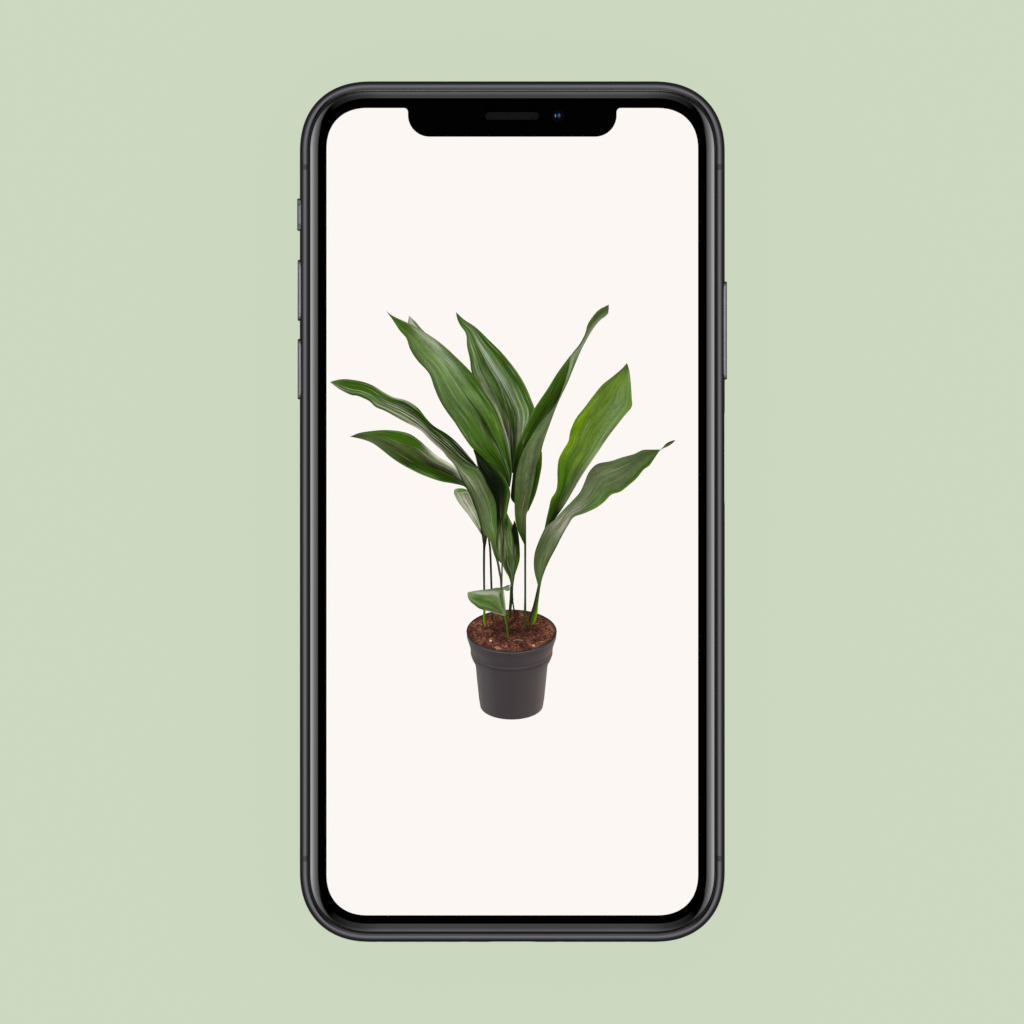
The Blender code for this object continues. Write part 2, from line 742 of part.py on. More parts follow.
def make_tray():
    """The card tray with its door flush in the band, and the reader that it slides out of."""
    outer = HALF_WIDTH - TRAY_SUNK
    door = plate(
        "card_tray",
        pill_outline(*TRAY_DOOR),
        TRAY_DOOR_THICK,
        (outer - TRAY_DOOR_THICK / 2, TRAY_Y, MIDDLE),
        "side",
    )
    half = TRAY_WIDTH / 2
    thick = TRAY_THICK / 2
    inner = HALF_WIDTH - TRAY_REACH
    tongue = box(
        "tray_tongue",
        (inner, TRAY_Y - half, MIDDLE - thick),
        (outer - TRAY_DOOR_THICK / 2, TRAY_Y + half, MIDDLE + thick),
    )
    join(door, [tongue])
    card_x = inner + CARD_RIM + CARD_SIZE[0] / 2
    window = plate("card_window", oblong_outline(*CARD_SIZE), CUTTER, (card_x, TRAY_Y, MIDDLE))
    pin_offset, pin_radius = PIN_HOLE
    pin_y = TRAY_Y - pin_offset
    start = (outer - 2 * TRAY_DOOR_THICK, pin_y, MIDDLE)
    pin = rod("pin_hole", start, (outer + OVERRUN, pin_y, MIDDLE), pin_radius, SMALL_SIDES)
    cut(door, [window, pin])
    set_origin(door, (HALF_WIDTH, TRAY_Y, MIDDLE))
    finish_piece(door, STEEL)
    wide = half + RUNNING
    tall = thick + RUNNING
    reader_outer = HALF_WIDTH - FRAME_INNER - SEAT
    reader_inner = inner - SEAT - READER_WALL
    reader = box(
        "card_reader",
        (reader_inner, TRAY_Y - wide - READER_WALL, MIDDLE - tall - READER_WALL),
        (reader_outer, TRAY_Y + wide + READER_WALL, MIDDLE + tall + READER_WALL),
    )
    hollow = box(
        "reader_hollow",
        (inner - SEAT, TRAY_Y - wide, MIDDLE - tall),
        (reader_outer + SEAT, TRAY_Y + wide, MIDDLE + tall),
    )
    cut(reader, [hollow])
    finish_piece(reader, BRIGHT_STEEL)


def make_lower_end():
    """The charging port, its two screws, the loudspeaker and the vibration motor."""
    length, width = PORT_BORE
    start = -HALF_HEIGHT + FRAME_INNER
    end = start + PORT_DEPTH
    shell = plate(
        "charging_port",
        pill_outline(length + 2 * PORT_WALL, width + 2 * PORT_WALL),
        PORT_DEPTH,
        (0, (start + end) / 2, MIDDLE),
        "end",
    )
    bore = plate(
        "port_bore",
        pill_outline(length, width),
        PORT_DEPTH,
        (0, (start + end) / 2 - 2 * PORT_WALL, MIDDLE),
        "end",
    )
    cut(shell, [bore])
    finish_piece(shell, BRIGHT_STEEL)
    make_screw("case_screw_left", -SCREW_X)
    make_screw("case_screw_right", SCREW_X)
    speaker = block("loudspeaker", LOUDSPEAKER, BAY_LOW, BAY_HIGH, BLACK_PLASTIC, MODULE_EDGE)
    clip_corner(speaker, LOUDSPEAKER[1][0], LOUDSPEAKER[0][1], 1)
    motor = block("vibration_motor", MOTOR, BAY_LOW, BAY_HIGH, BRIGHT_STEEL, MODULE_EDGE)
    clip_corner(motor, MOTOR[0][0], MOTOR[0][1], -1)


def make_screw(name, x):
    """A case screw, with a head let into the lower end of the band and a socket in the head."""
    seat = -HALF_HEIGHT + SCREW_SUNK
    shoulder = seat + SCREW_HEAD_THICK
    tip = -HALF_HEIGHT + SCREW_TIP
    screw = rod(name, (x, seat, MIDDLE), (x, shoulder, MIDDLE), SCREW_HEAD, SCREW_SIDES)
    shank = rod("shank", (x, shoulder - SEAT, MIDDLE), (x, tip, MIDDLE), SCREW_SHANK, SMALL_SIDES)
    socket = rod("socket", (x, seat - SEAT, MIDDLE), (x, seat + SEAT, MIDDLE), SCREW_SOCKET, SOCKET_SIDES)
    cut(join(screw, [shank]), [socket])
    finish_piece(screw, STEEL)


def clip_corner(piece, x, y, side):
    """Cuts a triangle from a block's outer lower corner, where the body's corner rounds off."""
    past_x = x + side * OVERRUN
    past_y = y - OVERRUN
    reach = CORNER_CLIP + OVERRUN
    points = [(past_x, past_y), (past_x, y + reach), (x - side * reach, past_y)]
    cut(piece, [plate("corner", points, CUTTER, (0, 0, (BAY_LOW + BAY_HIGH) / 2))])


def make_back():
    """The steel plate behind the parts with the coil in its opening, and the camera plateau on it."""
    centre = (0, 0, (PLATE_LOW + PLATE_HIGH) / 2)
    sheet = plate("back_plate", body_outline(FRAME_INNER), PLATE_HIGH - PLATE_LOW, centre)
    holes = [rod("coil_hole", (0, COIL_Y, 0), (0, COIL_Y, MIDDLE), COIL_OUTER + SEAT, COIL_SIDES)]
    for offset, radius in ((LENS_OFFSET, LENS_BARREL), (-LENS_OFFSET, LENS_BARREL), (0, FLASH_COVER)):
        x = PLATEAU_X
        y = PLATEAU_Y + offset
        holes.append(rod("lens_hole", (x, y, 0), (x, y, MIDDLE), radius + SEAT, BARREL_SIDES))
    cut(sheet, holes)
    finish_piece(sheet, BRIGHT_STEEL)
    coil = rod("charging_coil", (0, COIL_Y, PLATE_LOW), (0, COIL_Y, PLATE_HIGH), COIL_OUTER, COIL_SIDES)
    eye = rod("coil_eye", (0, COIL_Y, 0), (0, COIL_Y, MIDDLE), COIL_INNER)
    cut(coil, [eye])
    finish_piece(coil, COPPER)


def make_rear_camera():
    """The plateau with two lens covers and a flash cover, and the camera modules behind them."""
    high = BACK_GLASS_IN
    plateau = plate("camera_plateau", turned(pill_outline(*PLATEAU_SIZE)), high, plateau_at(high / 2))
    holes = []
    x = PLATEAU_X
    for offset, name in ((LENS_OFFSET, "wide"), (-LENS_OFFSET, "long")):
        y = PLATEAU_Y + offset
        holes.append(rod("lens_seat", (x, y, -SEAT), (x, y, LENS_SEAT), LENS_COVER + CLOSE))
        holes.append(rod("lens_bore", (x, y, -SEAT), (x, y, MIDDLE), LENS_BARREL + SEAT))
        cover = rod(f"lens_cover_{name}", (x, y, CLOSE), (x, y, LENS_COVER_HIGH), LENS_COVER)
        finish_piece(cover, LENS_GLASS)
        footprint = ((x - CAMERA_HALF, y - CAMERA_HALF), (x + CAMERA_HALF, y + CAMERA_HALF))
        module = block(f"rear_camera_{name}", footprint, BAY_LOW, BAY_HIGH, BLACK_PLASTIC, BLOCK_EDGE)
        start = (x, y, LENS_COVER_HIGH + SEAT)
        join(module, [rod("barrel", start, (x, y, BAY_LOW + SEAT), LENS_BARREL, BARREL_SIDES)])
    y = PLATEAU_Y
    holes.append(rod("flash_bore", (x, y, -SEAT), (x, y, MIDDLE), FLASH_COVER + CLOSE, BARREL_SIDES))
    cut(plateau, holes)
    finish_piece(plateau, STEEL)
    cover = rod("flash_cover", (x, y, CLOSE), (x, y, high), FLASH_COVER, BARREL_SIDES)
    finish_piece(cover, FLASH_LENS)
    lamp = rod("flash_lamp", (x, y, PLATE_LOW), (x, y, PLATE_HIGH + SEAT), FLASH_LAMP, SCREW_SIDES)
    finish_piece(lamp, FLASH_LENS)


def make_inside():
    """The two battery cells, the logic board with its shields, the radio module and the upper flex board."""
    block("battery_main", MAIN_CELL, BAY_LOW, BAY_HIGH, BATTERY_FOIL, CELL_EDGE)
    block("battery_lower", LOWER_CELL, BAY_LOW, BAY_HIGH, BATTERY_FOIL, CELL_EDGE)
    board_high = BAY_LOW + BOARD_THICK
    block("logic_board", LOGIC_BOARD, BAY_LOW, board_high, BOARD_GREEN)
    shield_low = board_high + CLOSE
    block("board_shield_upper", UPPER_SHIELD, shield_low, BAY_HIGH, BRIGHT_STEEL, BLOCK_EDGE)
    block("board_shield_lower", LOWER_SHIELD, shield_low, BAY_HIGH, BRIGHT_STEEL, BLOCK_EDGE)
    block("radio_module", RADIO, BAY_LOW, BAY_HIGH, BRIGHT_STEEL, BLOCK_EDGE)
    block("upper_flex", UPPER_FLEX, BAY_LOW, BAY_LOW + FLEX_THICK, BOARD_GREEN)


def main():
    """Makes every piece."""
    make_band()
    make_glasses()
    make_display()
    make_sensors()
    make_buttons()
    make_tray()
    make_lower_end()
    make_back()
    make_rear_camera()
    make_inside()


clear_scene()
PHONE = make_collection("smartphone")
HELPERS = make_collection("helpers")
main()
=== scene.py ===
"""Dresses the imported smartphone: every piece's finish, the lit screen with its potted plant, and the stage.

It is laid out as a Blender add-on. Run as a script, it makes every piece in turn.
"""

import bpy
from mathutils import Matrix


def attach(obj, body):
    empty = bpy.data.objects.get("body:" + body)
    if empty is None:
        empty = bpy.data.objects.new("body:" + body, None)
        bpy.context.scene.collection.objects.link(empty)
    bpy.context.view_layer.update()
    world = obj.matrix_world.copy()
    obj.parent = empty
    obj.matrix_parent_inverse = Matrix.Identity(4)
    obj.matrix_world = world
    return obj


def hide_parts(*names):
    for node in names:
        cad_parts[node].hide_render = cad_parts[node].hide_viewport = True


bl_info = {
    "name": "Smartphone looks",
    "version": (1, 0, 0),
    "blender": (4, 5, 0),
    "location": "3D View > Sidebar > Phone",
    "description": "Dresses a smartphone with a notched screen, piece by piece",
    "category": "Object",
}

import math

import bmesh
import bpy
from mathutils import Vector

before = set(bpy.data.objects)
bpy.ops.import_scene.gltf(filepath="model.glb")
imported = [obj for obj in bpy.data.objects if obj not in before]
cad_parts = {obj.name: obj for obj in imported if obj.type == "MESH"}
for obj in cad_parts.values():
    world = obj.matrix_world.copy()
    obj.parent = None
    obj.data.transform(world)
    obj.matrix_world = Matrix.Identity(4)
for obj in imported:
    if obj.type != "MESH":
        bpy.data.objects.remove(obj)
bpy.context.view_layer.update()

MM = 0.001

# The photograph's scale, and the pixel at the middle of the body
PIXEL = 0.16686 * MM
MIDDLE_PIXEL = (512.3, 511.65)
PHOTO_SIDE = 1024

# Body, as in the solids
HALF_WIDTH = 35.45 * MM
HALF_HEIGHT = 71.8 * MM
CORNER_RADIUS = 12.02 * MM
CORNER_POWER = 2.3
CORNER_SHRINK = 1.126
CORNER_STEPS = 40
BACK_FACE = 0.9 * MM
FRONT_FACE = 8.6 * MM
MIDDLE = 4.75 * MM
BACK_GLASS_IN = 1.6 * MM
PLATE_LOW = 1.9 * MM
LEDGE = 6.9 * MM
PANEL_HIGH = 7.5 * MM
COVER_IN = 7.8 * MM
RUNNING = 0.15 * MM
OVERRUN = 1.0 * MM

# Band
BAND_DEPTH = 1.35 * MM
BAND_INNER = 2.6 * MM
BAND_HALF = 3.4 * MM
BAND_POWER = 2.5
BAND_STEPS = 36
ANTENNA_UPPER = 57.5 * MM
ANTENNA_LOWER = -57.9 * MM
ANTENNA_WIDTH = 0.95 * MM

# Cover glass: its curved edge, and how far in the flat starts
GLASS_EDGE = 1.68 * MM
GLASS_FLAT = 3.02 * MM
GLASS_TOP_GAIN = 0.23 * MM
GLASS_DROP = 0.5 * MM
GLASS_ANGLE = math.radians(82)
GLASS_STEPS = 18
FRAME_INNER = 2.9 * MM
GROOVE_RING = (1.38 * MM, 1.62 * MM)
GROOVE_LOW = 7.02 * MM
GROOVE_HIGH = 8.0 * MM

# Black border under the glass, and the screen in it
INK_EDGE = 1.9 * MM
INK_LEVEL = 7.79 * MM
SCREEN_EDGE = 4.45 * MM
SCREEN_STEPS = 40
NOTCH_HALF = 17.4 * MM
NOTCH_DEPTH = 4.79 * MM
NOTCH_RADIUS = 3.6 * MM
NOTCH_FILLET = 0.7 * MM
SENSOR_Y = 66.03 * MM
EARPIECE_SLOT = (9.0 * MM, 1.28 * MM)
MESH_SIZE = (10.4 * MM, 2.3 * MM)
MESH_PITCH = 0.2 * MM
WIRE_RADIUS = 0.045 * MM
FRONT_CAMERA_X = 7.64 * MM
CAMERA_WINDOW = 1.05 * MM
CAMERA_BARREL = (1.2 * MM, 0.85 * MM)
CAMERA_TOP = 7.74 * MM
# The two glints painted into the front camera's lens as painted highlights: where each lies and its colour
PAINTED_LENS_GLINTS = ((7.09 * MM, 66.07 * MM, (0.2, 0.4, 0.68)), (7.81 * MM, 66.14 * MM, (0.036, 0.1, 0.26)))
LIT_LEVEL = 7.52 * MM
LAYER = 0.008 * MM

# Buttons on the band: where each middle lies along Y, and its length
VOLUME_UP = (36.92 * MM, 10.2 * MM)
VOLUME_DOWN = (23.78 * MM, 10.1 * MM)
SIDE_BUTTON = (30.21 * MM, 16.4 * MM)
RING_SWITCH = (49.55 * MM, 5.43 * MM)
BUTTON_WIDTH = 2.8 * MM
BUTTON_PROUD = 0.37 * MM
SWITCH_WIDTH = 1.9 * MM
SWITCH_PROUD = 0.45 * MM
SWITCH_TRAVEL = 0.8 * MM
POCKET_AT = 1.5 * MM
POCKET_WIDTH = 3.8 * MM
FLANGE_REACH = 0.6 * MM
FLANGE_THICK = 0.5 * MM
CAP_EDGE = 0.22 * MM

# Card tray
TRAY_Y = 9.0 * MM
TRAY_DOOR = (15.7 * MM, 2.4 * MM)
TRAY_DOOR_THICK = 1.1 * MM
TRAY_STEP = 1.35 * MM
TRAY_WIDTH = 13.2 * MM
TRAY_THICK = 0.8 * MM
TRAY_REACH = 25.0 * MM
TRAY_SUNK = 0.05 * MM
CARD_SIZE = (8.8 * MM, 12.3 * MM)
CARD_RIM = 1.6 * MM
PIN_HOLE = (7.15 * MM, 0.35 * MM)

# Lower end
PORT_BORE = (8.4 * MM, 2.6 * MM)
PORT_WALL = 0.4 * MM
PORT_DEPTH = 7.0 * MM
PORT_MOUTH = 2.9 * MM
PORT_CONTACTS = 8
CONTACT_PITCH = 0.75 * MM
SCREW_X = 7.9 * MM
SCREW_HEAD = 0.85 * MM
SCREW_SHANK = 0.5 * MM
SCREW_SEAT_DEPTH = 0.95 * MM
SOUND_HOLES = 6
SOUND_HOLE_RADIUS = 0.75 * MM
SOUND_HOLE_FIRST = 11.6 * MM
SOUND_HOLE_PITCH = 2.6 * MM

# Rear camera plateau
PLATEAU = (23.4 * MM, 53.4 * MM)
PLATEAU_SIZE = (22.8 * MM, 10.8 * MM)
LENS_OFFSET = 6.1 * MM
LENS_COVER = 3.7 * MM
LENS_BARREL = 2.7 * MM
FLASH_COVER = 1.25 * MM
# The rear lenses' ring, steps and dome, and the flash, as pairs of a radius and a height in millimetres
LENS_RING = ((3.7, -0.6), (3.7, -0.22), (3.62, -0.12), (3.5, -0.1), (3.05, -0.1), (2.95, -0.2), (2.95, -0.6))
LENS_STEPS = ((2.95, -0.3), (2.3, -0.32), (2.25, -0.42), (1.75, -0.44), (1.7, -0.54), (1.2, -0.55))
LENS_DOME = ((1.25, -0.58), (1.1, -0.48), (0.8, -0.4), (0.4, -0.355), (0.1, -0.34))
FLASH_LEVELS = ((1.25, -1.6), (1.25, -0.25), (1.17, -0.14), (1.0, -0.1))

SHARP = math.radians(35)
WELD = 0.0005 * MM


def srgb(red, green, blue):
    """A colour given as 0 to 255, in the linear values that Blender works with."""
    linear = []
    for value in (red, green, blue):
        share = value / 255
        linear.append(share / 12.92 if share <= 0.04045 else ((share + 0.055) / 1.055) ** 2.4)
    return tuple(linear)


# --------------------------------------------------------------------------------------------------
# Materials


class Value:
    """An output of a node that takes part in Python sums."""

    def __init__(self, nodes, socket):
        self.nodes = nodes
        self.socket = socket

    def __add__(self, other):
        return self.nodes.maths("ADD", self, other)

    def __sub__(self, other):
        return self.nodes.maths("SUBTRACT", self, other)

    def __rsub__(self, other):
        return self.nodes.maths("SUBTRACT", other, self)

    def __mul__(self, other):
        return self.nodes.maths("MULTIPLY", self, other)

    def __truediv__(self, other):
        return self.nodes.maths("DIVIDE", self, other)

    def __pow__(self, other):
        return self.nodes.maths("POWER", self, other)

    def __abs__(self):
        return self.nodes.maths("ABSOLUTE", self)

    __radd__ = __add__
    __rmul__ = __mul__


class Nodes:
    """The nodes of a material or of the world."""

    def __init__(self, tree):
        self.tree = tree

    def feed(self, socket, value):
        """Links a value to a socket, or sets the socket."""
        if isinstance(value, Value):
            self.tree.links.new(value.socket, socket)
        elif socket.type == "RGBA":
            socket.default_value = (*value[:3], 1.0)
        else:
            socket.default_value = value

    def node(self, kind, settings=None, inputs=None, output=0):
        """Adds a node of a type, sets it up, feeds its sockets and returns one of its outputs."""
        made = self.tree.nodes.new(kind)
        for name, value in (settings or {}).items():
            if name == "stops":
                elements = made.color_ramp.elements
                elements.remove(elements[1])
                elements[0].position = value[0][0]
                elements[0].color = (*value[0][1], 1.0)
                for place, colour in value[1:]:
                    elements.new(place).color = (*colour, 1.0)
            else:
                setattr(made, name, value)
        for name, value in (inputs or {}).items():
            self.feed(made.inputs[name], value)
        return Value(self, made.outputs[output])

    def maths(self, operation, *values):
        """A Math node on one to three values."""
        return self.node("ShaderNodeMath", {"operation": operation}, dict(enumerate(values)))

    def step(self, value, low, high):
        """Rises smoothly from 0 to 1 while the value goes from low to high."""
        settings = {"interpolation_type": "SMOOTHSTEP"}
        return self.node("ShaderNodeMapRange", settings, {0: value, 1: low, 2: high})

    def mix(self, factor, first, second):
        """A colour between two colours."""
        inputs = {0: factor, 6: first, 7: second}
        return self.node("ShaderNodeMix", {"data_type": "RGBA"}, inputs, 2)

    def scaled(self, colour, factor):
        """A colour made brighter or darker."""
        return self.node("ShaderNodeVectorMath", {"operation": "SCALE"}, {0: colour, "Scale": factor})

    def ramp(self, value, stops):
        """A colour read from a ramp."""
        return self.node("ShaderNodeValToRGB", {"stops": stops}, {0: value})

    def stretched(self, vector, stretch):
        """A vector times another."""
        return self.node("ShaderNodeVectorMath", {"operation": "MULTIPLY"}, {0: vector, 1: stretch})

    def point(self, stretch=(1.0, 1.0, 1.0)):
        """The object's own coordinates, stretched."""
        return self.stretched(self.node("ShaderNodeTexCoord", output=3), stretch)

    def axes(self, vector):
        """The three parts of a vector."""
        made = self.tree.nodes.new("ShaderNodeSeparateXYZ")
        self.feed(made.inputs[0], vector)
        return [Value(self, socket) for socket in made.outputs]

    def joined(self, x, y, z):
        """A vector from its three parts."""
        return self.node("ShaderNodeCombineXYZ", None, {0: x, 1: y, 2: z})

    def noise(self, vector, scale, detail=2.0, roughness=0.5, distortion=0.0):
        """Soft noise from 0 to 1."""
        inputs = {
            "Vector": vector,
            "Scale": scale,
            "Detail": detail,
            "Roughness": roughness,
            "Distortion": distortion,
        }
        return self.node("ShaderNodeTexNoise", None, inputs)

    def mottle(self, *look):
        """Soft noise over the object's own coordinates."""
        return self.noise(self.point(), *look)

    def place(self):
        """The object's own coordinates, each for itself."""
        return self.axes(self.point())

    def cells(self, vector, scale):
        """The distance to the nearest of scattered points."""
        return self.node("ShaderNodeTexVoronoi", None, {"Vector": vector, "Scale": scale})

    def bump(self, height, distance, strength=0.5):
        """A normal bent by a height."""
        inputs = {"Strength": strength, "Distance": distance, "Height": height}
        return self.node("ShaderNodeBump", None, inputs)


class Finish(Nodes):
    """A material in the making, round one Principled shader."""

    def __init__(self, name, **constants):
        self.material = bpy.data.materials.new(name)
        self.material.use_nodes = True
        super().__init__(self.material.node_tree)
        self.shader = self.tree.nodes["Principled BSDF"]
        for socket, value in constants.items():
            self.give(socket.replace("_", " ").title().replace("Ior", "IOR"), value)

    def give(self, socket, value):
        """Feeds one of the shader's sockets."""
        self.feed(self.shader.inputs[socket], value)
        return self

    def paint(self, colour, shade, roughness):
        """Feeds the colour, made brighter or darker by a shade, and the roughness."""
        return self.give("Base Color", self.scaled(colour, shade)).give("Roughness", roughness)

    def glow(self, colour, shade):
        """Feeds the light that the finish gives off, made brighter or darker by a shade."""
        return self.give("Emission Color", self.scaled(colour, shade))

    def open_below(self):
        """Lets light through from behind, so that a sheet shows from one side only."""
        behind = self.node("ShaderNodeNewGeometry", output=6)
        clear = self.node("ShaderNodeBsdfTransparent")
        both = self.node("ShaderNodeMixShader", None, {0: behind})
        self.tree.links.new(self.shader.outputs[0], both.socket.node.inputs[1])
        self.tree.links.new(clear.socket, both.socket.node.inputs[2])
        self.tree.links.new(both.socket, self.tree.nodes["Material Output"].inputs[0])


def steel_finish(name, colour, roughness):
    """Polished steel with a fine polishing grain and faint wear."""
    finish = Finish(name, metallic=1.0)
    smear = finish.mottle(900.0, 4.0, 0.6)
    wear = finish.mottle(160.0, 3.0)
    finish.paint(colour, 0.97 + 0.06 * wear, roughness - 0.02 + 0.04 * smear)
    return finish.give("Normal", finish.bump(smear, 0.002 * MM, 0.15))


def plastic_finish(name, colour, roughness=0.45, grain=0.02):
    """Moulded plastic with a fine spark-eroded grain."""
    finish = Finish(name)
    speckle = finish.mottle(6000.0, 3.0, 0.6)
    tone = finish.mottle(300.0)
    finish.paint(colour, 0.9 + 0.2 * tone, roughness - 0.06 + 0.12 * speckle)
    return finish.give("Normal", finish.bump(speckle, grain * MM, 0.3))


# --------------------------------------------------------------------------------------------------
# Shapes


def rounded_outline(half_x, half_y, radius, power, steps):
    """Points round a rectangle with superellipse corners, from the lower end of the upper right corner."""
    points = []
    for sign_x, sign_y in ((1, 1), (-1, 1), (-1, -1), (1, -1)):
        for step in range(steps + 1):
            angle = math.pi / 2 * step / steps
            if sign_x != sign_y:
                angle = math.pi / 2 - angle
            along = abs(math.cos(angle)) ** (2 / power)
            up = abs(math.sin(angle)) ** (2 / power)
            x = sign_x * (half_x - radius + radius * along)
            points.append((x, sign_y * (half_y - radius + radius * up)))
    return points


def body_outline(inset, steps=CORNER_STEPS):
    """The body's outline, moved in."""
    radius = CORNER_RADIUS - CORNER_SHRINK * inset
    return rounded_outline(HALF_WIDTH - inset, HALF_HEIGHT - inset, radius, CORNER_POWER, steps)


def screen_outline(edge):
    """The lit screen's outline, whose upper edge is cut by the notch."""
    outline = body_outline(edge, SCREEN_STEPS)
    top = HALF_HEIGHT - edge
    notch = []
    for side in (1, -1):
        half = []
        for step in range(SCREEN_STEPS // 2 + 1):
            angle = math.pi / 2 * step / (SCREEN_STEPS // 2)
            x = NOTCH_HALF + NOTCH_FILLET * (1 - math.sin(angle))
            half.append((side * x, top - NOTCH_FILLET * (1 - math.cos(angle))))
        for step in range(SCREEN_STEPS + 1):
            angle = math.pi / 2 * step / SCREEN_STEPS
            x = NOTCH_HALF - NOTCH_RADIUS * (1 - math.cos(angle))
            half.append((side * x, top - NOTCH_DEPTH + NOTCH_RADIUS * (1 - math.sin(angle))))
        notch += half if side > 0 else half[::-1]
    return outline[: SCREEN_STEPS + 1] + notch + outline[SCREEN_STEPS + 1 :]


def pill(length, width, steps=12):
    """A slot's outline round the origin, with its length along the first axis."""
    radius = width / 2
    points = []
    for side in (1, -1):
        for step in range(steps + 1):
            angle = math.pi * (step / steps - 0.5)
            along = length / 2 - radius + radius * math.cos(angle)
            points.append((side * along, side * radius * math.sin(angle)))
    return points


def circle(radius, sides=32):
    """A circle's outline round the origin."""
    turn = math.tau / sides
    return [(radius * math.cos(turn * side), radius * math.sin(turn * side)) for side in range(sides)]


def oblong(length, width):
    """A rectangle's outline round the origin."""
    return [(a * length / 2, b * width / 2) for a, b in ((1, -1), (1, 1), (-1, 1), (-1, -1))]


def moved(points, x, y):
    """An outline moved in its plane."""
    return [(a + x, b + y) for a, b in points]


def turned(points):
    """An outline turned a quarter."""
    return [(-b, a) for a, b in points]


def placed(facing, centre=(0.0, 0.0, 0.0)):
    """A function that takes a flat outline's points and a height to places that face a side."""
    x, y, z = centre
    return {
        "up": lambda a, b, c: (x + a, y + b, z + c),
        "down": lambda a, b, c: (x + a, y + b, z - c),
        "right": lambda a, b, c: (x + c, y + a, z + b),
        "left": lambda a, b, c: (x - c, y + a, z + b),
        "end": lambda a, b, c: (x + a, y - c, z + b),
    }[facing]


def add_rings(shape, rings, closed=False, caps=True, finish=0):
    """Adds a skin over rings of equally many points, capped at its ends or closed on itself."""
    rows = [[shape.verts.new(point) for point in ring] for ring in rings]
    faces = []
    pairs = list(zip(rows, rows[1:]))
    if closed:
        pairs.append((rows[-1], rows[0]))
    elif caps:
        faces.append(shape.faces.new(rows[0]))
        faces.append(shape.faces.new(rows[-1]))
    for low, high in pairs:
        for here in range(len(low)):
            after = (here + 1) % len(low)
            faces.append(shape.faces.new((low[here], low[after], high[after], high[here])))
    for face in faces:
        face.material_index = finish


def add_stack(shape, levels, place, finish=0, caps=True):
    """Adds a solid through flat outlines at heights."""
    rings = [[place(a, b, c) for a, b in points] for points, c in levels]
    add_rings(shape, rings, False, caps, finish)


def linked(name, data):
    """A new object in the scene."""
    made = bpy.data.objects.new(name, data)
    bpy.context.scene.collection.objects.link(made)
    return made


def final_mesh(made):
    """A copy of the mesh that an object ends up with."""
    bpy.context.view_layer.update()
    return bpy.data.meshes.new_from_object(made.evaluated_get(bpy.context.evaluated_depsgraph_get()))


def add_plate(shape, outlines, low, high, place, finish=0):
    """Adds a flat plate between two heights, bounded by its first outline and holed by the others."""
    curve = bpy.data.curves.new("plate", "CURVE")
    curve.dimensions = "2D"
    curve.fill_mode = "BOTH"
    curve.extrude = (high - low) / 2
    for points in outlines:
        spline = curve.splines.new("POLY")
        spline.points.add(len(points) - 1)
        for target, (a, b) in zip(spline.points, points):
            target.co = (a, b, 0, 1)
        spline.use_cyclic_u = True
    guide = linked("plate", curve)
    mesh = final_mesh(guide)
    middle = (high + low) / 2
    for vertex in mesh.vertices:
        vertex.co = place(vertex.co.x, vertex.co.y, vertex.co.z + middle)
    before = len(shape.faces)
    shape.from_mesh(mesh)
    shape.faces.ensure_lookup_table()
    for face in shape.faces[before:]:
        face.material_index = finish
    bpy.data.objects.remove(guide)
    bpy.data.meshes.remove(mesh)
    bpy.data.curves.remove(curve)


def round_levels(rows, sides=48):
    """Circles at heights, from pairs of a radius and a height in millimetres."""
    return [(circle(radius * MM, sides), height * MM) for radius, height in rows]


def rounded_levels(outline, low, high, edge, steps=5):
    """Outlines at heights for a solid whose upper edge is rounded. The outline is a function of the inset."""
    levels = [(outline(0.0), low)]
    for step in range(steps + 1):
        angle = math.pi / 2 * step / steps
        levels.append((outline(edge * (1 - math.cos(angle))), high - edge * (1 - math.sin(angle))))
    return levels


def weld(shape, outward=True):
    """Merges points that coincide and turns the faces outwards."""
    bmesh.ops.remove_doubles(shape, verts=shape.verts, dist=WELD)
    if outward:
        bmesh.ops.recalc_face_normals(shape, faces=shape.faces)
    return shape


def add_piece(name, shape, finishes, body="case", stands_for=(), outward=True):
    """Makes a piece from a bmesh. It rides on a body and stands for CAD nodes."""
    weld(shape, outward)
    for edge in shape.edges:
        kinds = {face.material_index for face in edge.link_faces}
        edge.smooth = len(kinds) == 1 and edge.calc_face_angle(0.0) < SHARP
    for face in shape.faces:
        face.smooth = True
    mesh = bpy.data.meshes.new(name)
    shape.to_mesh(mesh)
    shape.free()
    for finish in finishes:
        mesh.materials.append(finish.material)
    made = linked(name, mesh)
    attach(made, body)
    if stands_for:
        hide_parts(*stands_for)


def carved(shape, cutters):
    """A shape less its cutters, each a bmesh."""
    holders = []
    for number, part in enumerate((shape, *cutters)):
        mesh = bpy.data.meshes.new("carving")
        weld(part).to_mesh(mesh)
        part.free()
        holders.append(linked(f"carving_{number}", mesh))
    for cutter in holders[1:]:
        boolean = holders[0].modifiers.new("cut", "BOOLEAN")
        boolean.operation = "DIFFERENCE"
        boolean.object = cutter
    mesh = final_mesh(holders[0])
    result = bmesh.new()
    result.from_mesh(mesh)
    for holder in holders:
        bpy.data.objects.remove(holder)
    bpy.data.meshes.remove(mesh)
    return result


def dress(finish, *nodes):
    """Gives CAD nodes a better finish."""
    for name in nodes:
        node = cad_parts[name]
        for place in node.material_slots:
            place.material = finish.material


# --------------------------------------------------------------------------------------------------
# Band


def band_section():
    """The band's section as pairs of an inset and a height."""
    points = []
    for step in range(BAND_STEPS + 1):
        angle = math.pi * (step / BAND_STEPS - 0.5)
        inset = BAND_DEPTH * (1 - abs(math.cos(angle)) ** (2 / BAND_POWER))
        rise = BAND_HALF * math.copysign(abs(math.sin(angle)) ** (2 / BAND_POWER), angle)
        points.append((inset, MIDDLE + rise))
    points += [(BAND_DEPTH, LEDGE), (BAND_INNER, LEDGE), (BAND_INNER, PLATE_LOW), (BAND_DEPTH, PLATE_LOW)]
    return points


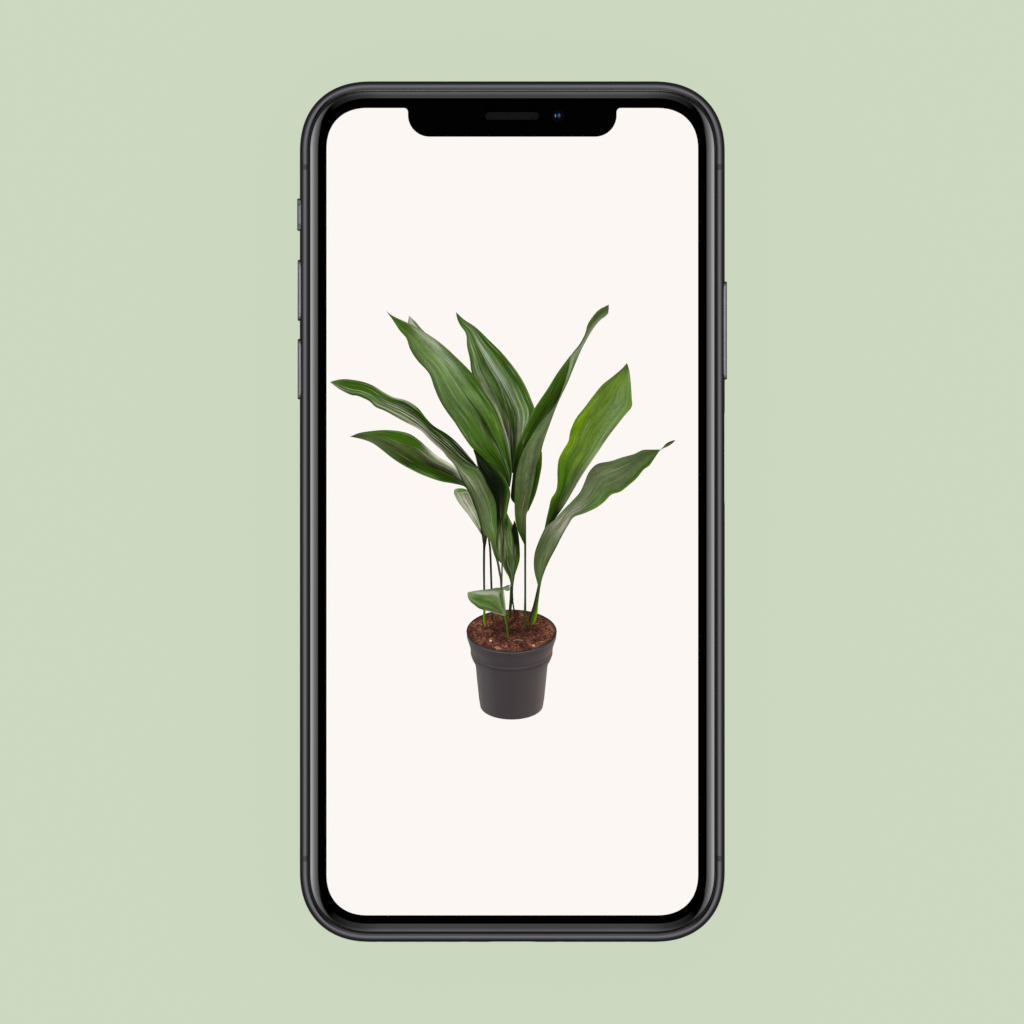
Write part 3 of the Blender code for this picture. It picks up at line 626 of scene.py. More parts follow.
def band_run(run):
    """The band's section swept along a run of the outline, as a bmesh."""
    section = band_section()
    columns = [run(inset) for inset, height in section]
    rings = []
    for ring in zip(*columns):
        rings.append([(x, y, height) for (x, y), (inset, height) in zip(ring, section)])
    shape = bmesh.new()
    add_rings(shape, rings)
    return shape


def end_run(inset, side):
    """The band's upper or lower end, from one antenna insert round to the other."""
    x = HALF_WIDTH - inset
    outline = body_outline(inset)
    corner = 2 * (CORNER_STEPS + 1)
    if side > 0:
        y = ANTENNA_UPPER + ANTENNA_WIDTH / 2
        return [(x, y), *outline[:corner], (-x, y)]
    y = ANTENNA_LOWER - ANTENNA_WIDTH / 2
    return [(-x, y), *outline[corner:], (x, y)]


def side_run(side, high, low):
    """A straight run of the band on one side, as a function of the inset."""
    return lambda inset: [(side * (HALF_WIDTH - inset), high), (side * (HALF_WIDTH - inset), low)]


def solid(levels, place):
    """A bmesh through flat outlines at heights."""
    shape = bmesh.new()
    add_stack(shape, levels, place)
    return shape


def button_cutters(facing, side, place, slot):
    """What a button takes from the band: its slot and the pocket behind it."""
    y, length = place
    reach = length + 2 * (FLANGE_REACH + RUNNING)
    at = placed(facing, (side * HALF_WIDTH, y, MIDDLE))
    pocket = oblong(reach, POCKET_WIDTH)
    return [
        solid([(slot, -BAND_INNER), (slot, OVERRUN)], at),
        solid([(pocket, -BAND_INNER - OVERRUN), (pocket, -POCKET_AT)], at),
    ]


def press_slot(place):
    """The outline of a press button's slot."""
    return pill(place[1] + 2 * RUNNING, BUTTON_WIDTH + 2 * RUNNING)


def sound_holes(side):
    """Where the sound holes on one side lie, from the middle out."""
    return [side * (SOUND_HOLE_FIRST + hole * SOUND_HOLE_PITCH) for hole in range(SOUND_HOLES)]


def end_bore(x, radius, reach, sides=24):
    """A round cutter into the lower end of the band."""
    at = placed("end", (x, -HALF_HEIGHT, MIDDLE))
    return solid([(circle(radius, sides), -reach), (circle(radius, sides), OVERRUN)], at)


def make_band(settings):
    """The steel band in four pieces, with its slots and holes, and the four antenna inserts."""
    high = ANTENNA_UPPER - ANTENNA_WIDTH / 2
    low = ANTENNA_LOWER + ANTENNA_WIDTH / 2
    tall = SWITCH_WIDTH + SWITCH_TRAVEL + 2 * RUNNING
    switch_slot = rounded_outline(RING_SWITCH[1] / 2 + RUNNING, tall / 2, SWITCH_WIDTH / 2 + RUNNING, 2.0, 6)
    left_cutters = []
    for button, slot in (
        (VOLUME_UP, press_slot(VOLUME_UP)),
        (VOLUME_DOWN, press_slot(VOLUME_DOWN)),
        (RING_SWITCH, switch_slot),
    ):
        left_cutters += button_cutters("left", -1, button, slot)
    tray_at = placed("right", (HALF_WIDTH, TRAY_Y, MIDDLE))
    door = pill(TRAY_DOOR[0] + 2 * RUNNING, TRAY_DOOR[1] + 2 * RUNNING)
    slit = oblong(TRAY_WIDTH + 2 * RUNNING, TRAY_THICK + 2 * RUNNING)
    right_cutters = [
        *button_cutters("right", 1, SIDE_BUTTON, press_slot(SIDE_BUTTON)),
        solid([(door, -TRAY_STEP), (door, OVERRUN)], tray_at),
        solid([(slit, -BAND_INNER - OVERRUN), (slit, -BAND_DEPTH / 2)], tray_at),
    ]
    port = pill(*PORT_BORE)
    end_at = placed("end", (0, -HALF_HEIGHT, MIDDLE))
    through = BAND_INNER + OVERRUN
    end_cutters = [solid([(port, -through), (port, OVERRUN)], end_at)]
    for side in (-1, 1):
        end_cutters.append(end_bore(side * SCREW_X, SCREW_HEAD + RUNNING, SCREW_SEAT_DEPTH))
        end_cutters.append(end_bore(side * SCREW_X, SCREW_SHANK + RUNNING, through, 12))
        end_cutters += [end_bore(x, SOUND_HOLE_RADIUS, through) for x in sound_holes(side)]
    steel = steel_finish("band_steel", settings.steel_colour, settings.steel_roughness)
    runs = {
        "top": (lambda inset: end_run(inset, 1), []),
        "bottom": (lambda inset: end_run(inset, -1), end_cutters),
        "left": (side_run(-1, high, low), left_cutters),
        "right": (side_run(1, high, low), right_cutters),
    }
    for name, (run, cutters) in runs.items():
        shape = band_run(run)
        if cutters:
            shape = carved(shape, cutters)
        add_piece(f"polished_band_{name}", shape, [steel], "case", [f"steel_band_{name}"])
    plastic = plastic_finish("antenna_plastic", settings.antenna_colour, 0.14, 0.002)
    for side, side_name in ((-1, "left"), (1, "right")):
        for middle, end_name in ((ANTENNA_UPPER, "upper"), (ANTENNA_LOWER, "lower")):
            half = ANTENNA_WIDTH / 2
            insert = band_run(side_run(side, middle + half, middle - half))
            node = f"antenna_insert_{end_name}_{side_name}"
            add_piece(f"moulded_{node}", insert, [plastic], "case", [node])


# --------------------------------------------------------------------------------------------------
# Glass, border and display frame


def glass_rings(outward, top_gain):
    """Rings up the curved edge of a glass, from its inner face to its flat."""
    inner, face = (COVER_IN, FRONT_FACE) if outward > 0 else (BACK_GLASS_IN, BACK_FACE)
    width = (GLASS_FLAT - GLASS_EDGE) / (1 - math.cos(GLASS_ANGLE))
    height = GLASS_DROP / math.sin(GLASS_ANGLE)
    rings = [[(x, y, inner) for x, y in body_outline(GLASS_EDGE)]]
    for step in range(GLASS_STEPS + 1):
        angle = GLASS_ANGLE * step / GLASS_STEPS
        reach = width * (1 - math.cos(angle))
        level = face - outward * (GLASS_DROP - height * math.sin(angle))
        ring = []
        for (x, y), (edge_x, edge_y) in zip(body_outline(GLASS_EDGE + reach), body_outline(GLASS_EDGE)):
            facing = max(0.0, (edge_y - y) / max(math.hypot(edge_x - x, edge_y - y), WELD))
            share = 1 - top_gain * facing**2 / (GLASS_FLAT - GLASS_EDGE)
            ring.append((edge_x + (x - edge_x) * share, edge_y + (y - edge_y) * share, level))
        rings.append(ring)
    return rings


def add_edge_glass(shape, outward, hole, top_gain=0.0):
    """Adds a glass with a curved edge and a hole. Its flats take the second finish."""
    rings = glass_rings(outward, top_gain)
    add_rings(shape, rings, caps=False)
    at = placed("up")
    for ring in (rings[-1],) if outward > 0 else (rings[0], rings[-1]):
        level = ring[0][2]
        add_plate(shape, [[point[:2] for point in ring], hole], level, level, at, 1)
    walls = [[(x, y, ring[0][2]) for x, y in hole] for ring in (rings[0], rings[-1])]
    add_rings(shape, walls, caps=False)


def make_cover():
    """The cover glass: clear over its flat, and black with a deep gloss on its curved edge, whose reflection
    is painted strongest along the sides.
    """
    edge = Finish("glass_edge", metallic=1.0)
    x, y, z = edge.place()
    depth = edge.mottle(120.0)
    # Painted reflection: the curved edge's reflectance is painted strong along the long sides, weaker along
    # the ends and fading out into the corners, where the studio light reflects.
    sides = edge.step(abs(y), HALF_HEIGHT - 2.4 * MM, HALF_HEIGHT - 12.0 * MM)
    ends = edge.step(abs(x), HALF_WIDTH - 4.8 * MM, HALF_WIDTH - 15.0 * MM)
    painted_reflection = 0.006 + 0.19 * sides + 0.056 * ends * (1.0 - sides)
    ripple = edge.mottle(2500.0)
    edge.paint((1.0, 1.0, 1.0), painted_reflection * (0.96 + 0.08 * depth), 0.03 + 0.01 * ripple)
    clear = Finish("clear_glass", metallic=1.0, base_color=(1.0, 1.0, 1.0), roughness=0.0)
    mirror = clear.node("ShaderNodeFresnel", None, {"IOR": 1.5})
    smudge = clear.mottle(60.0, 3.0)
    clear.give("Alpha", clear.maths("MAXIMUM", (mirror - 0.0402) * (0.36 + 0.04 * smudge), 0.0))
    shape = bmesh.new()
    slot = moved(pill(*EARPIECE_SLOT, 16), 0, SENSOR_Y)
    add_edge_glass(shape, 1, slot, GLASS_TOP_GAIN)
    add_piece("curved_cover_glass", shape, [edge, clear], stands_for=["cover_glass"])


def make_border():
    """The black ink border under the glass, open over the screen, the earpiece and the front camera."""
    ink = Finish("border_ink", specular_ior_level=0.0, roughness=0.9)
    ink.give("Base Color", ink.scaled((0.0006, 0.0006, 0.0007), 0.5 + ink.mottle(400.0)))
    holes = [
        screen_outline(SCREEN_EDGE),
        moved(pill(*EARPIECE_SLOT, 16), 0, SENSOR_Y),
        moved(circle(CAMERA_WINDOW, 40), FRONT_CAMERA_X, SENSOR_Y),
    ]
    shape = bmesh.new()
    add_plate(shape, [body_outline(INK_EDGE), *holes], INK_LEVEL, INK_LEVEL, placed("up"))
    add_piece("ink_border", shape, [ink], outward=False)


def make_display_frame():
    """The plastic frame that carries the cover glass and fills the groove between the glass and the band,
    with painted light along the groove's upper end.
    """
    finish = Finish("groove_plastic", specular_ior_level=0.3)
    x, y, z = finish.place()
    # Painted light: the groove's plastic is painted far lighter along the middle of the upper end, where
    # light falls into the groove, and a touch darker along the middle of the foot.
    top = finish.step(y, 68.5 * MM, 70.4 * MM)
    foot = finish.step(y, -68.5 * MM, -70.4 * MM)
    speckle = finish.mottle(5000.0, 3.0)
    middle = finish.step(abs(x), HALF_WIDTH - 6.0 * MM, HALF_WIDTH - 13.0 * MM)
    colour = finish.mix(foot * middle, (0.012, 0.012, 0.013), (0.010, 0.010, 0.011))
    colour = finish.mix(top * middle, colour, (0.17, 0.17, 0.175))
    finish.paint(colour, 0.9 + 0.2 * speckle, 0.5 + 0.2 * speckle)
    outer, inner = GROOVE_RING
    seat = 7.2 * MM
    lip = 0.06 * MM
    section = (
        (outer, GROOVE_LOW),
        (outer, GROOVE_HIGH - lip),
        (outer + lip, GROOVE_HIGH),
        (inner - lip, GROOVE_HIGH),
        (inner, GROOVE_HIGH - lip),
        (inner, PANEL_HIGH),
        (FRAME_INNER, PANEL_HIGH),
        (FRAME_INNER, seat),
        (inner, seat),
        (inner, GROOVE_LOW),
    )
    shape = bmesh.new()
    add_rings(shape, [[(a, b, c) for a, b in body_outline(inset)] for inset, c in section], closed=True)
    add_piece("groove_frame", shape, [finish], stands_for=["display_frame"])


# --------------------------------------------------------------------------------------------------
# The lit screen and its picture of a potted plant

TONES = {
    "ink": srgb(15, 22, 10),
    "deep": srgb(26, 40, 10),
    "dark": srgb(40, 62, 12),
    "green": srgb(58, 90, 18),
    "leaf": srgb(74, 104, 38),
    "moss": srgb(88, 114, 60),
    "bright": srgb(86, 120, 30),
    "meadow": srgb(98, 125, 44),
    "lime": srgb(108, 142, 14),
    "soft": srgb(110, 136, 76),
    "olive": srgb(72, 84, 46),
    "grey": srgb(88, 102, 66),
    "slate": srgb(104, 118, 82),
    "frost": srgb(126, 146, 116),
    "pale": srgb(144, 158, 120),
    "silver": srgb(178, 184, 162),
    "blush": srgb(156, 152, 134),
    "bark": srgb(60, 56, 46),
    "orange": srgb(186, 124, 86),
    "straw": srgb(150, 118, 90),
    "chalk": srgb(214, 206, 198),
}

# A pictured leaf: its name, how strongly it is veined, and its left side and its right side from the tip to
# the base, each as a run of x and y in pixels of the photograph. Its tones follow, in rows that hold a place
# along the leaf, the tones there from left to right, and the places across of all but the first and the last
# of them. Its streaks come last, each with a tone, its place across at its start and at its end, its start
# and end along the leaf, its half width and its strength.
PICTURED_LEAVES = (
    ("torn_tip", 0.8,
     (409, 315.5, 408.6, 319, 408, 323, 412, 327, 417, 331),
     (409, 315.5, 412, 318.5, 416, 322, 421, 328, 425, 332),
     ((0.0, "slate silver slate", 0.5), (0.6, "silver silver grey slate", 0.5, 0.8)),
     ()),
    ("centre_leaf", 0.7,
     (456, 312, 457, 318, 460, 325, 466, 334, 467, 346, 470, 360, 472, 373.5, 482, 395, 493, 420, 503, 446,
      511, 473),
     (456, 312, 464, 319.5, 476, 327.5, 489, 340, 503, 354, 515, 369, 524, 383, 531, 399, 535, 414,
      528, 440, 514, 473),
     ((0.0, "green green"), (0.12, "green leaf slate green", 0.4, 0.7),
      (0.25, "green moss moss frost green green", 0.2, 0.4, 0.55, 0.75),
      (0.45, "olive grey moss dark frost moss dark green leaf", 0.2, 0.34, 0.46, 0.58, 0.75, 0.86, 0.95),
      (0.62, "grey grey dark dark slate moss green leaf", 0.2, 0.34, 0.5, 0.62, 0.8, 0.94),
      (0.76, "deep bark deep slate grey deep", 0.3, 0.46, 0.62, 0.8), (0.9, "ink deep grey ink", 0.5, 0.7),
      (1.0, "ink ink")),
     (("silver", 0.5, 0.57, 0.16, 0.62, 0.014, 0.8), ("silver", 0.55, 0.62, 0.2, 0.66, 0.012, 0.7),
      ("dark", 0.525, 0.595, 0.2, 0.66, 0.008, 0.6), ("silver", 0.45, 0.48, 0.12, 0.4, 0.012, 0.5),
      ("dark", 0.41, 0.43, 0.12, 0.85, 0.03, 0.8), ("dark", 0.33, 0.35, 0.2, 0.5, 0.012, 0.5),
      ("green", 0.66, 0.7, 0.18, 0.55, 0.014, 0.6), ("deep", 0.8, 0.84, 0.36, 0.54, 0.03, 0.6),
      ("blush", 0.12, 0.14, 0.42, 0.66, 0.05, 0.5), ("soft", 0.975, 0.975, 0.3, 0.66, 0.02, 0.7))),
    ("tall_leaf_inside", 0.2,
     (571, 354.5, 558, 372, 547, 389.5, 534, 409, 528.5, 420.5, 523, 432, 517, 447, 513.5, 461, 513, 474,
      514.6, 500),
     (571, 354.5, 568.5, 369, 564.4, 383, 557, 402, 545, 418, 533, 434, 526, 447, 518, 466, 516, 484,
      515.6, 500),
     ((0.0, "leaf green"), (0.3, "leaf green dark dark deep", 0.12, 0.4, 0.8),
      (0.55, "moss green dark dark", 0.2, 0.6), (0.72, "deep green grey deep ink", 0.3, 0.5, 0.7),
      (1.0, "ink ink")),
     (("moss", 0.3, 0.35, 0.2, 0.6, 0.02, 0.4), ("frost", 0.35, 0.5, 0.62, 0.86, 0.05, 0.5),
      ("deep", 0.6, 0.6, 0.3, 0.7, 0.05, 0.5), ("soft", 0.02, 0.02, 0.1, 0.7, 0.03, 0.5))),
    ("tall_leaf_shade", 0.0,
     (521, 440, 516, 455, 513.4, 468, 512.2, 480, 511.3, 488, 510.8, 494, 510.6, 497, 511.6, 500, 514, 503),
     (524, 448, 518.6, 463, 515.8, 476, 515.2, 484, 515, 490, 514.9, 495, 514.8, 498, 514.7, 501,
      514.6, 503.4),
     ((0.0, "dark dark"), (0.4, "ink deep ink", 0.6), (1.0, "ink ink")),
     ()),
    ("tall_leaf_outside", 0.35,
     (608.8, 304.6, 598.5, 310, 590.5, 319.5, 587, 326, 585, 334, 579, 345, 570.5, 356, 568.5, 369,
      564.4, 383, 557, 402, 545, 418, 533, 434, 523.6, 450, 518.4, 464, 515.6, 477, 514.9, 490, 514.5, 503,
      514.9, 516, 516.4, 526, 519.2, 534, 524.2, 544.5),
     (608.8, 304.6, 608, 314, 601, 319.5, 594, 327.5, 587, 339, 581, 350.5, 574, 367, 567.5, 383, 558, 403,
      550, 424, 542, 448, 542, 461, 541, 471, 536, 493, 528, 511, 526.3, 516, 526.2, 530, 526.2, 544.5),
     ((0.0, "olive green"), (0.07, "green olive slate blush", 0.45, 0.8),
      (0.17, "olive slate pale grey", 0.5, 0.8), (0.28, "slate pale slate olive", 0.3, 0.7),
      (0.42, "slate slate slate grey bark", 0.25, 0.6, 0.9), (0.54, "moss slate grey olive", 0.4, 0.8),
      (0.7, "olive grey grey olive", 0.3, 0.7), (0.88, "green olive olive", 0.5), (1.0, "dark deep")),
     (("pale", 0.12, 0.06, 0.26, 0.56, 0.04, 0.8), ("bark", 0.9, 0.86, 0.26, 0.46, 0.05, 0.6),
      ("olive", 0.5, 0.5, 0.5, 0.9, 0.03, 0.4), ("slate", 0.36, 0.4, 0.55, 0.9, 0.04, 0.4),
      ("pale", 0.9, 0.8, 0.02, 0.2, 0.08, 0.6))),
    ("tall_leaf_rim", 0.0,
     (541.6, 452, 537.2, 463, 533.4, 483, 529.5, 501, 527.6, 511),
     (542, 452, 542, 461, 541, 471, 536, 493, 528.6, 511),
     ((0.0, "green green"), (0.4, "deep dark green", 0.7)),
     ()),
    ("left_leaf", 0.35,
     (386, 311, 391, 317.5, 396, 325, 400, 331, 406.5, 338.5, 410, 349, 417, 360, 429, 373.5, 434, 387,
      439, 399, 445.5, 410, 455, 423, 463, 435.5, 473, 449, 488, 462, 499, 472, 505.5, 480, 509, 487),
     (386, 311, 393, 316, 408, 323, 417, 327.5, 426, 333, 440, 342.5, 454, 355, 471, 372, 486, 391,
      497.5, 409, 504, 426, 509, 443.5, 511.6, 463, 512, 474, 510, 487),
     ((0.0, "olive green"), (0.1, "leaf leaf green moss slate", 0.3, 0.7, 0.9),
      (0.22, "olive moss soft soft pale pale slate", 0.15, 0.4, 0.6, 0.74, 0.9),
      (0.36, "olive moss soft soft frost moss green", 0.1, 0.4, 0.6, 0.74, 0.88),
      (0.52, "olive moss moss moss soft leaf green olive", 0.15, 0.4, 0.56, 0.7, 0.84, 0.95),
      (0.7, "green leaf leaf olive dark leaf bright dark pale", 0.15, 0.4, 0.5, 0.6, 0.72, 0.84, 0.93),
      (0.84, "green dark green deep green dark slate", 0.3, 0.48, 0.62, 0.74, 0.86),
      (0.92, "dark dark deep green deep olive", 0.4, 0.6, 0.72, 0.85), (1.0, "ink deep")),
     (("silver", 0.66, 0.72, 0.14, 0.42, 0.014, 0.9), ("silver", 0.56, 0.6, 0.16, 0.4, 0.01, 0.6),
      ("silver", 0.74, 0.79, 0.12, 0.44, 0.01, 0.7), ("silver", 0.8, 0.86, 0.12, 0.32, 0.05, 0.7),
      ("dark", 0.62, 0.67, 0.12, 0.44, 0.012, 0.7), ("green", 0.7, 0.77, 0.16, 0.42, 0.01, 0.6),
      ("dark", 0.55, 0.62, 0.46, 0.97, 0.028, 1.0), ("moss", 0.625, 0.69, 0.5, 0.9, 0.018, 0.6),
      ("dark", 0.7, 0.74, 0.5, 0.9, 0.014, 0.8), ("soft", 0.76, 0.8, 0.55, 0.85, 0.014, 0.5),
      ("green", 0.82, 0.86, 0.4, 0.8, 0.04, 0.5), ("moss", 0.48, 0.54, 0.6, 0.92, 0.03, 0.4),
      ("leaf", 0.28, 0.34, 0.5, 0.84, 0.03, 0.6), ("moss", 0.2, 0.26, 0.4, 0.7, 0.02, 0.4),
      ("pale", 0.985, 0.985, 0.5, 0.88, 0.015, 0.8), ("green", 0.4, 0.44, 0.62, 0.9, 0.02, 0.5),
      ("frost", 0.46, 0.54, 0.26, 0.56, 0.06, 0.35))),
    ("shadow_leaf", 0.1,
     (473.2, 450, 475.6, 457, 477.4, 465.6, 478.2, 470, 483, 480, 489.6, 495, 494, 510, 496.4, 526,
      498, 544),
     (474.4, 449.6, 484, 458, 496, 469, 505, 480, 506.6, 491, 505, 506, 503.8, 521, 502.6, 544),
     ((0.0, "ink deep"), (0.4, "ink ink deep", 0.6), (0.7, "ink ink bark ink", 0.5, 0.8),
      (1.0, "deep olive ink", 0.5)),
     (("olive", 0.6, 0.6, 0.6, 1.0, 0.08, 0.5),)),
    ("turned_lobe", 0.2,
     (483, 458, 494, 471, 501, 486, 502.4, 499, 502.4, 518, 502.2, 530, 501.6, 545),
     (484, 458.4, 493.5, 466, 502, 475, 508, 484, 510.2, 492, 509.9, 498, 508.2, 506, 506.9, 514,
      505.4, 521, 504.4, 531, 503.4, 545),
     ((0.0, "ink dark"), (0.35, "ink deep dark leaf", 0.4, 0.75),
      (0.65, "ink dark leaf olive dark", 0.3, 0.6, 0.85), (0.85, "deep green leaf olive", 0.4, 0.8),
      (1.0, "ink green")),
     (("moss", 0.7, 0.6, 0.4, 0.9, 0.05, 0.6), ("dark", 0.5, 0.4, 0.4, 0.9, 0.04, 0.5))),
    ("lower_left_leaf", 0.35,
     (350, 436.6, 363, 439.5, 373, 443.5, 382, 450, 392, 458, 401, 464, 412, 470, 424, 475.6, 440, 481.2,
      452, 483.4, 462.5, 485.8, 469, 489.6),
     (350, 436.6, 359, 433, 371, 431, 385, 430, 398.5, 431, 410, 434, 419, 440, 428, 448, 437.5, 456,
      447, 461.8, 456.4, 467.8, 465, 477, 471, 490),
     ((0.0, "bark olive"), (0.15, "grey olive green leaf", 0.5, 0.75),
      (0.32, "leaf olive olive green green leaf", 0.15, 0.45, 0.62, 0.9),
      (0.5, "moss dark dark olive olive green green bark", 0.08, 0.38, 0.5, 0.62, 0.75, 0.94),
      (0.66, "moss green dark deep bark grey blush silver", 0.08, 0.4, 0.52, 0.6, 0.75, 0.9),
      (0.8, "moss dark dark deep bark slate silver silver", 0.1, 0.45, 0.55, 0.65, 0.78, 0.9),
      (0.92, "leaf dark deep bark blush silver blush", 0.15, 0.4, 0.5, 0.65, 0.85),
      (1.0, "olive bark silver blush", 0.4, 0.6)),
     (("deep", 0.62, 0.6, 0.3, 0.8, 0.014, 0.7), ("deep", 0.7, 0.68, 0.36, 0.8, 0.012, 0.6),
      ("slate", 0.66, 0.64, 0.4, 0.75, 0.014, 0.6), ("blush", 0.74, 0.72, 0.5, 0.85, 0.02, 0.4),
      ("deep", 0.3, 0.4, 0.5, 0.9, 0.03, 0.5), ("deep", 0.5, 0.52, 0.6, 1.0, 0.04, 0.8))),
    ("upper_left_leaf", 0.9,
     (330, 382, 339, 389, 351, 395, 358, 396, 369, 401, 375.5, 407, 385, 411, 396, 417, 405, 422, 420, 430,
      428, 438, 437.5, 447, 449, 457, 462, 466, 478.4, 469),
     (330, 382, 336.5, 380, 344.5, 379, 354, 380, 364, 382, 374, 386, 383.5, 392, 393, 397, 405, 400,
      413, 404, 420, 410, 426, 418, 434, 426, 447, 434, 458, 443.5, 470.6, 458, 478.6, 468),
     ((0.0, "moss moss"), (0.1, "olive green green moss", 0.4, 0.8),
      (0.25, "olive moss green green leaf", 0.3, 0.5, 0.85),
      (0.36, "olive slate grey olive green olive", 0.2, 0.45, 0.6, 0.8),
      (0.45, "slate slate olive grey dark dark", 0.3, 0.5, 0.7, 0.82),
      (0.56, "blush olive slate olive dark green dark", 0.25, 0.5, 0.62, 0.72, 0.95),
      (0.66, "blush olive grey deep dark deep", 0.3, 0.5, 0.6, 0.8),
      (0.76, "blush olive deep dark deep", 0.25, 0.45, 0.7),
      (0.88, "slate grey dark deep ink", 0.2, 0.4, 0.7), (1.0, "grey olive ink ink", 0.3, 0.5)),
     (("deep", 0.42, 0.4, 0.3, 0.8, 0.016, 1.0), ("silver", 0.47, 0.46, 0.3, 0.86, 0.018, 1.0),
      ("silver", 0.36, 0.32, 0.34, 0.86, 0.02, 1.0), ("deep", 0.28, 0.24, 0.36, 0.8, 0.016, 0.8),
      ("silver", 0.2, 0.18, 0.4, 0.8, 0.02, 0.8), ("bark", 0.1, 0.1, 0.3, 0.6, 0.02, 0.8),
      ("deep", 0.54, 0.5, 0.34, 0.75, 0.016, 0.8999999999999999),
      ("silver", 0.6, 0.56, 0.28, 0.5, 0.016, 0.7))),
    ("hanging_leaf", 1.0,
     (454, 490, 454.2, 494, 457.8, 501.4, 463.6, 509.2, 468.4, 515.1, 473.2, 522.2, 477.6, 528.6,
      481.6, 535),
     (466, 489, 470, 493, 474, 501, 478, 510, 481.6, 520, 483.4, 529, 484, 535),
     ((0.0, "slate slate grey", 0.5), (0.2, "pale blush slate", 0.4),
      (0.55, "blush silver pale grey", 0.4, 0.8), (0.8, "grey pale olive", 0.5), (1.0, "deep ink")),
     (("grey", 0.3, 0.7, 0.2, 0.7, 0.05, 0.5), ("slate", 0.7, 0.9, 0.1, 0.6, 0.06, 0.5),
      ("silver", 0.15, 0.4, 0.2, 0.6, 0.05, 0.5))),
    ("hanging_rim", 0.2,
     (454, 491, 455, 489.2, 458, 488.4, 462, 488.3, 465.6, 489),
     (454.2, 491.6, 457, 493, 460, 493.4, 463, 493.2, 466.8, 492.6),
     ((0.0, "pale pale"), (0.5, "bright bright pale", 0.4)),
     ()),
    ("stem_leaf", 0.1,
     (472, 497, 476, 508, 479, 519, 481.2, 532, 482.5, 541, 483.8, 549),
     (480, 497, 484, 508, 488, 519, 488.6, 529, 486.6, 541, 485.2, 549),
     ((0.0, "ink deep"), (0.5, "ink olive dark ink", 0.4, 0.8), (1.0, "ink ink")),
     ()),
    ("middle_leaf", 0.3,
     (442, 449.8, 447.1, 457.1, 453, 463.4, 457.8, 471.3, 463.7, 484.3, 469, 492.8, 473.2, 503.3,
      476.7, 512.8, 479.4, 521.1, 482, 529.5, 486, 536, 490.2, 541, 491.9, 548, 495.3, 557.4, 498.2, 560.2,
      500.6, 563),
     (443, 449.4, 455.4, 458.9, 467.2, 466.6, 477.6, 469, 483.6, 477.2, 487.6, 485.5, 492.3, 493.8,
      495.2, 501, 496.5, 509.2, 497, 521, 498, 532, 499.6, 542, 501, 552, 501.2, 563),
     ((0.0, "slate grey"), (0.14, "grey slate dark", 0.4),
      (0.26, "bark slate grey leaf grey", 0.15, 0.4, 0.7),
      (0.42, "bark grey grey grey olive", 0.2, 0.4, 0.7),
      (0.6, "deep grey grey leaf olive", 0.25, 0.6, 0.8), (0.8, "olive moss leaf dark", 0.4, 0.8),
      (1.0, "deep olive bark", 0.5)),
     (("blush", 0.3, 0.36, 0.16, 0.44, 0.05, 0.9), ("silver", 0.34, 0.38, 0.2, 0.34, 0.02, 0.4),
      ("ink", 0.02, 0.02, 0.16, 0.66, 0.05, 0.9), ("olive", 0.12, 0.12, 0.2, 0.6, 0.05, 0.6),
      ("slate", 0.48, 0.5, 0.2, 0.6, 0.03, 0.5), ("leaf", 0.62, 0.6, 0.45, 0.8, 0.05, 0.6),
      ("grey", 0.9, 0.9, 0.3, 0.7, 0.05, 0.6))),
    ("inner_leaf", 0.3,
     (500.2, 518, 498, 528, 496.4, 537, 496, 545, 497.4, 553, 499.6, 559, 501.5, 563.6),
     (501.2, 518, 502.4, 528, 503.2, 537, 503.6, 545, 503.6, 553, 503.4, 560, 502.8, 567),
     ((0.0, "ink ink"), (0.3, "deep olive olive ink", 0.4, 0.8),
      (0.55, "dark olive slate olive ink", 0.3, 0.5, 0.7), (0.8, "leaf grey ink", 0.5),
      (1.0, "leaf olive deep", 0.6)),
     (("silver", 0.4, 0.45, 0.3, 0.7, 0.06, 0.5), ("olive", 0.65, 0.6, 0.3, 0.9, 0.06, 0.5))),
    ("bright_leaf", 0.1,
     (627, 363, 621.5, 369, 612, 377, 602, 385, 593, 396, 584, 408, 575.5, 419, 570, 432, 568.5, 441,
      562, 452, 558.5, 460, 557.4, 471, 557.4, 482, 556, 491, 551, 499, 549, 508, 546.6, 518, 544, 531),
     (627, 363, 629, 369, 630.6, 380, 631.8, 398, 631.8, 407, 625, 415, 618, 424, 608, 437, 598, 452,
      589, 465, 581, 477, 573, 491, 566.6, 502, 560, 512, 550, 526, 545, 531),
     ((0.0, "olive olive"), (0.08, "leaf meadow soft", 0.5),
      (0.25, "meadow meadow meadow soft soft meadow", 0.15, 0.4, 0.6, 0.85),
      (0.42, "lime lime meadow meadow soft slate", 0.15, 0.3, 0.6, 0.85),
      (0.55, "lime lime leaf meadow meadow soft pale", 0.12, 0.3, 0.5, 0.7, 0.85),
      (0.68, "green bright green leaf olive slate", 0.15, 0.4, 0.6, 0.8),
      (0.8, "bright green dark olive grey", 0.2, 0.5, 0.75), (0.9, "green dark deep ink", 0.3, 0.6),
      (1.0, "dark ink")),
     (("green", 0.45, 0.5, 0.3, 0.85, 0.014, 0.7), ("green", 0.3, 0.34, 0.4, 0.8, 0.012, 0.6),
      ("dark", 0.7, 0.74, 0.5, 0.9, 0.03, 0.8), ("green", 0.86, 0.8, 0.3, 0.7, 0.014, 0.6),
      ("soft", 0.74, 0.76, 0.2, 0.6, 0.02, 0.6), ("lime", 0.38, 0.4, 0.2, 0.7, 0.02, 0.4),
      ("pale", 0.86, 0.86, 0.6, 0.85, 0.02, 0.5), ("bright", 0.56, 0.58, 0.2, 0.7, 0.02, 0.5),
      ("olive", 0.66, 0.64, 0.3, 0.6, 0.014, 0.4))),
    ("right_leaf", 0.1,
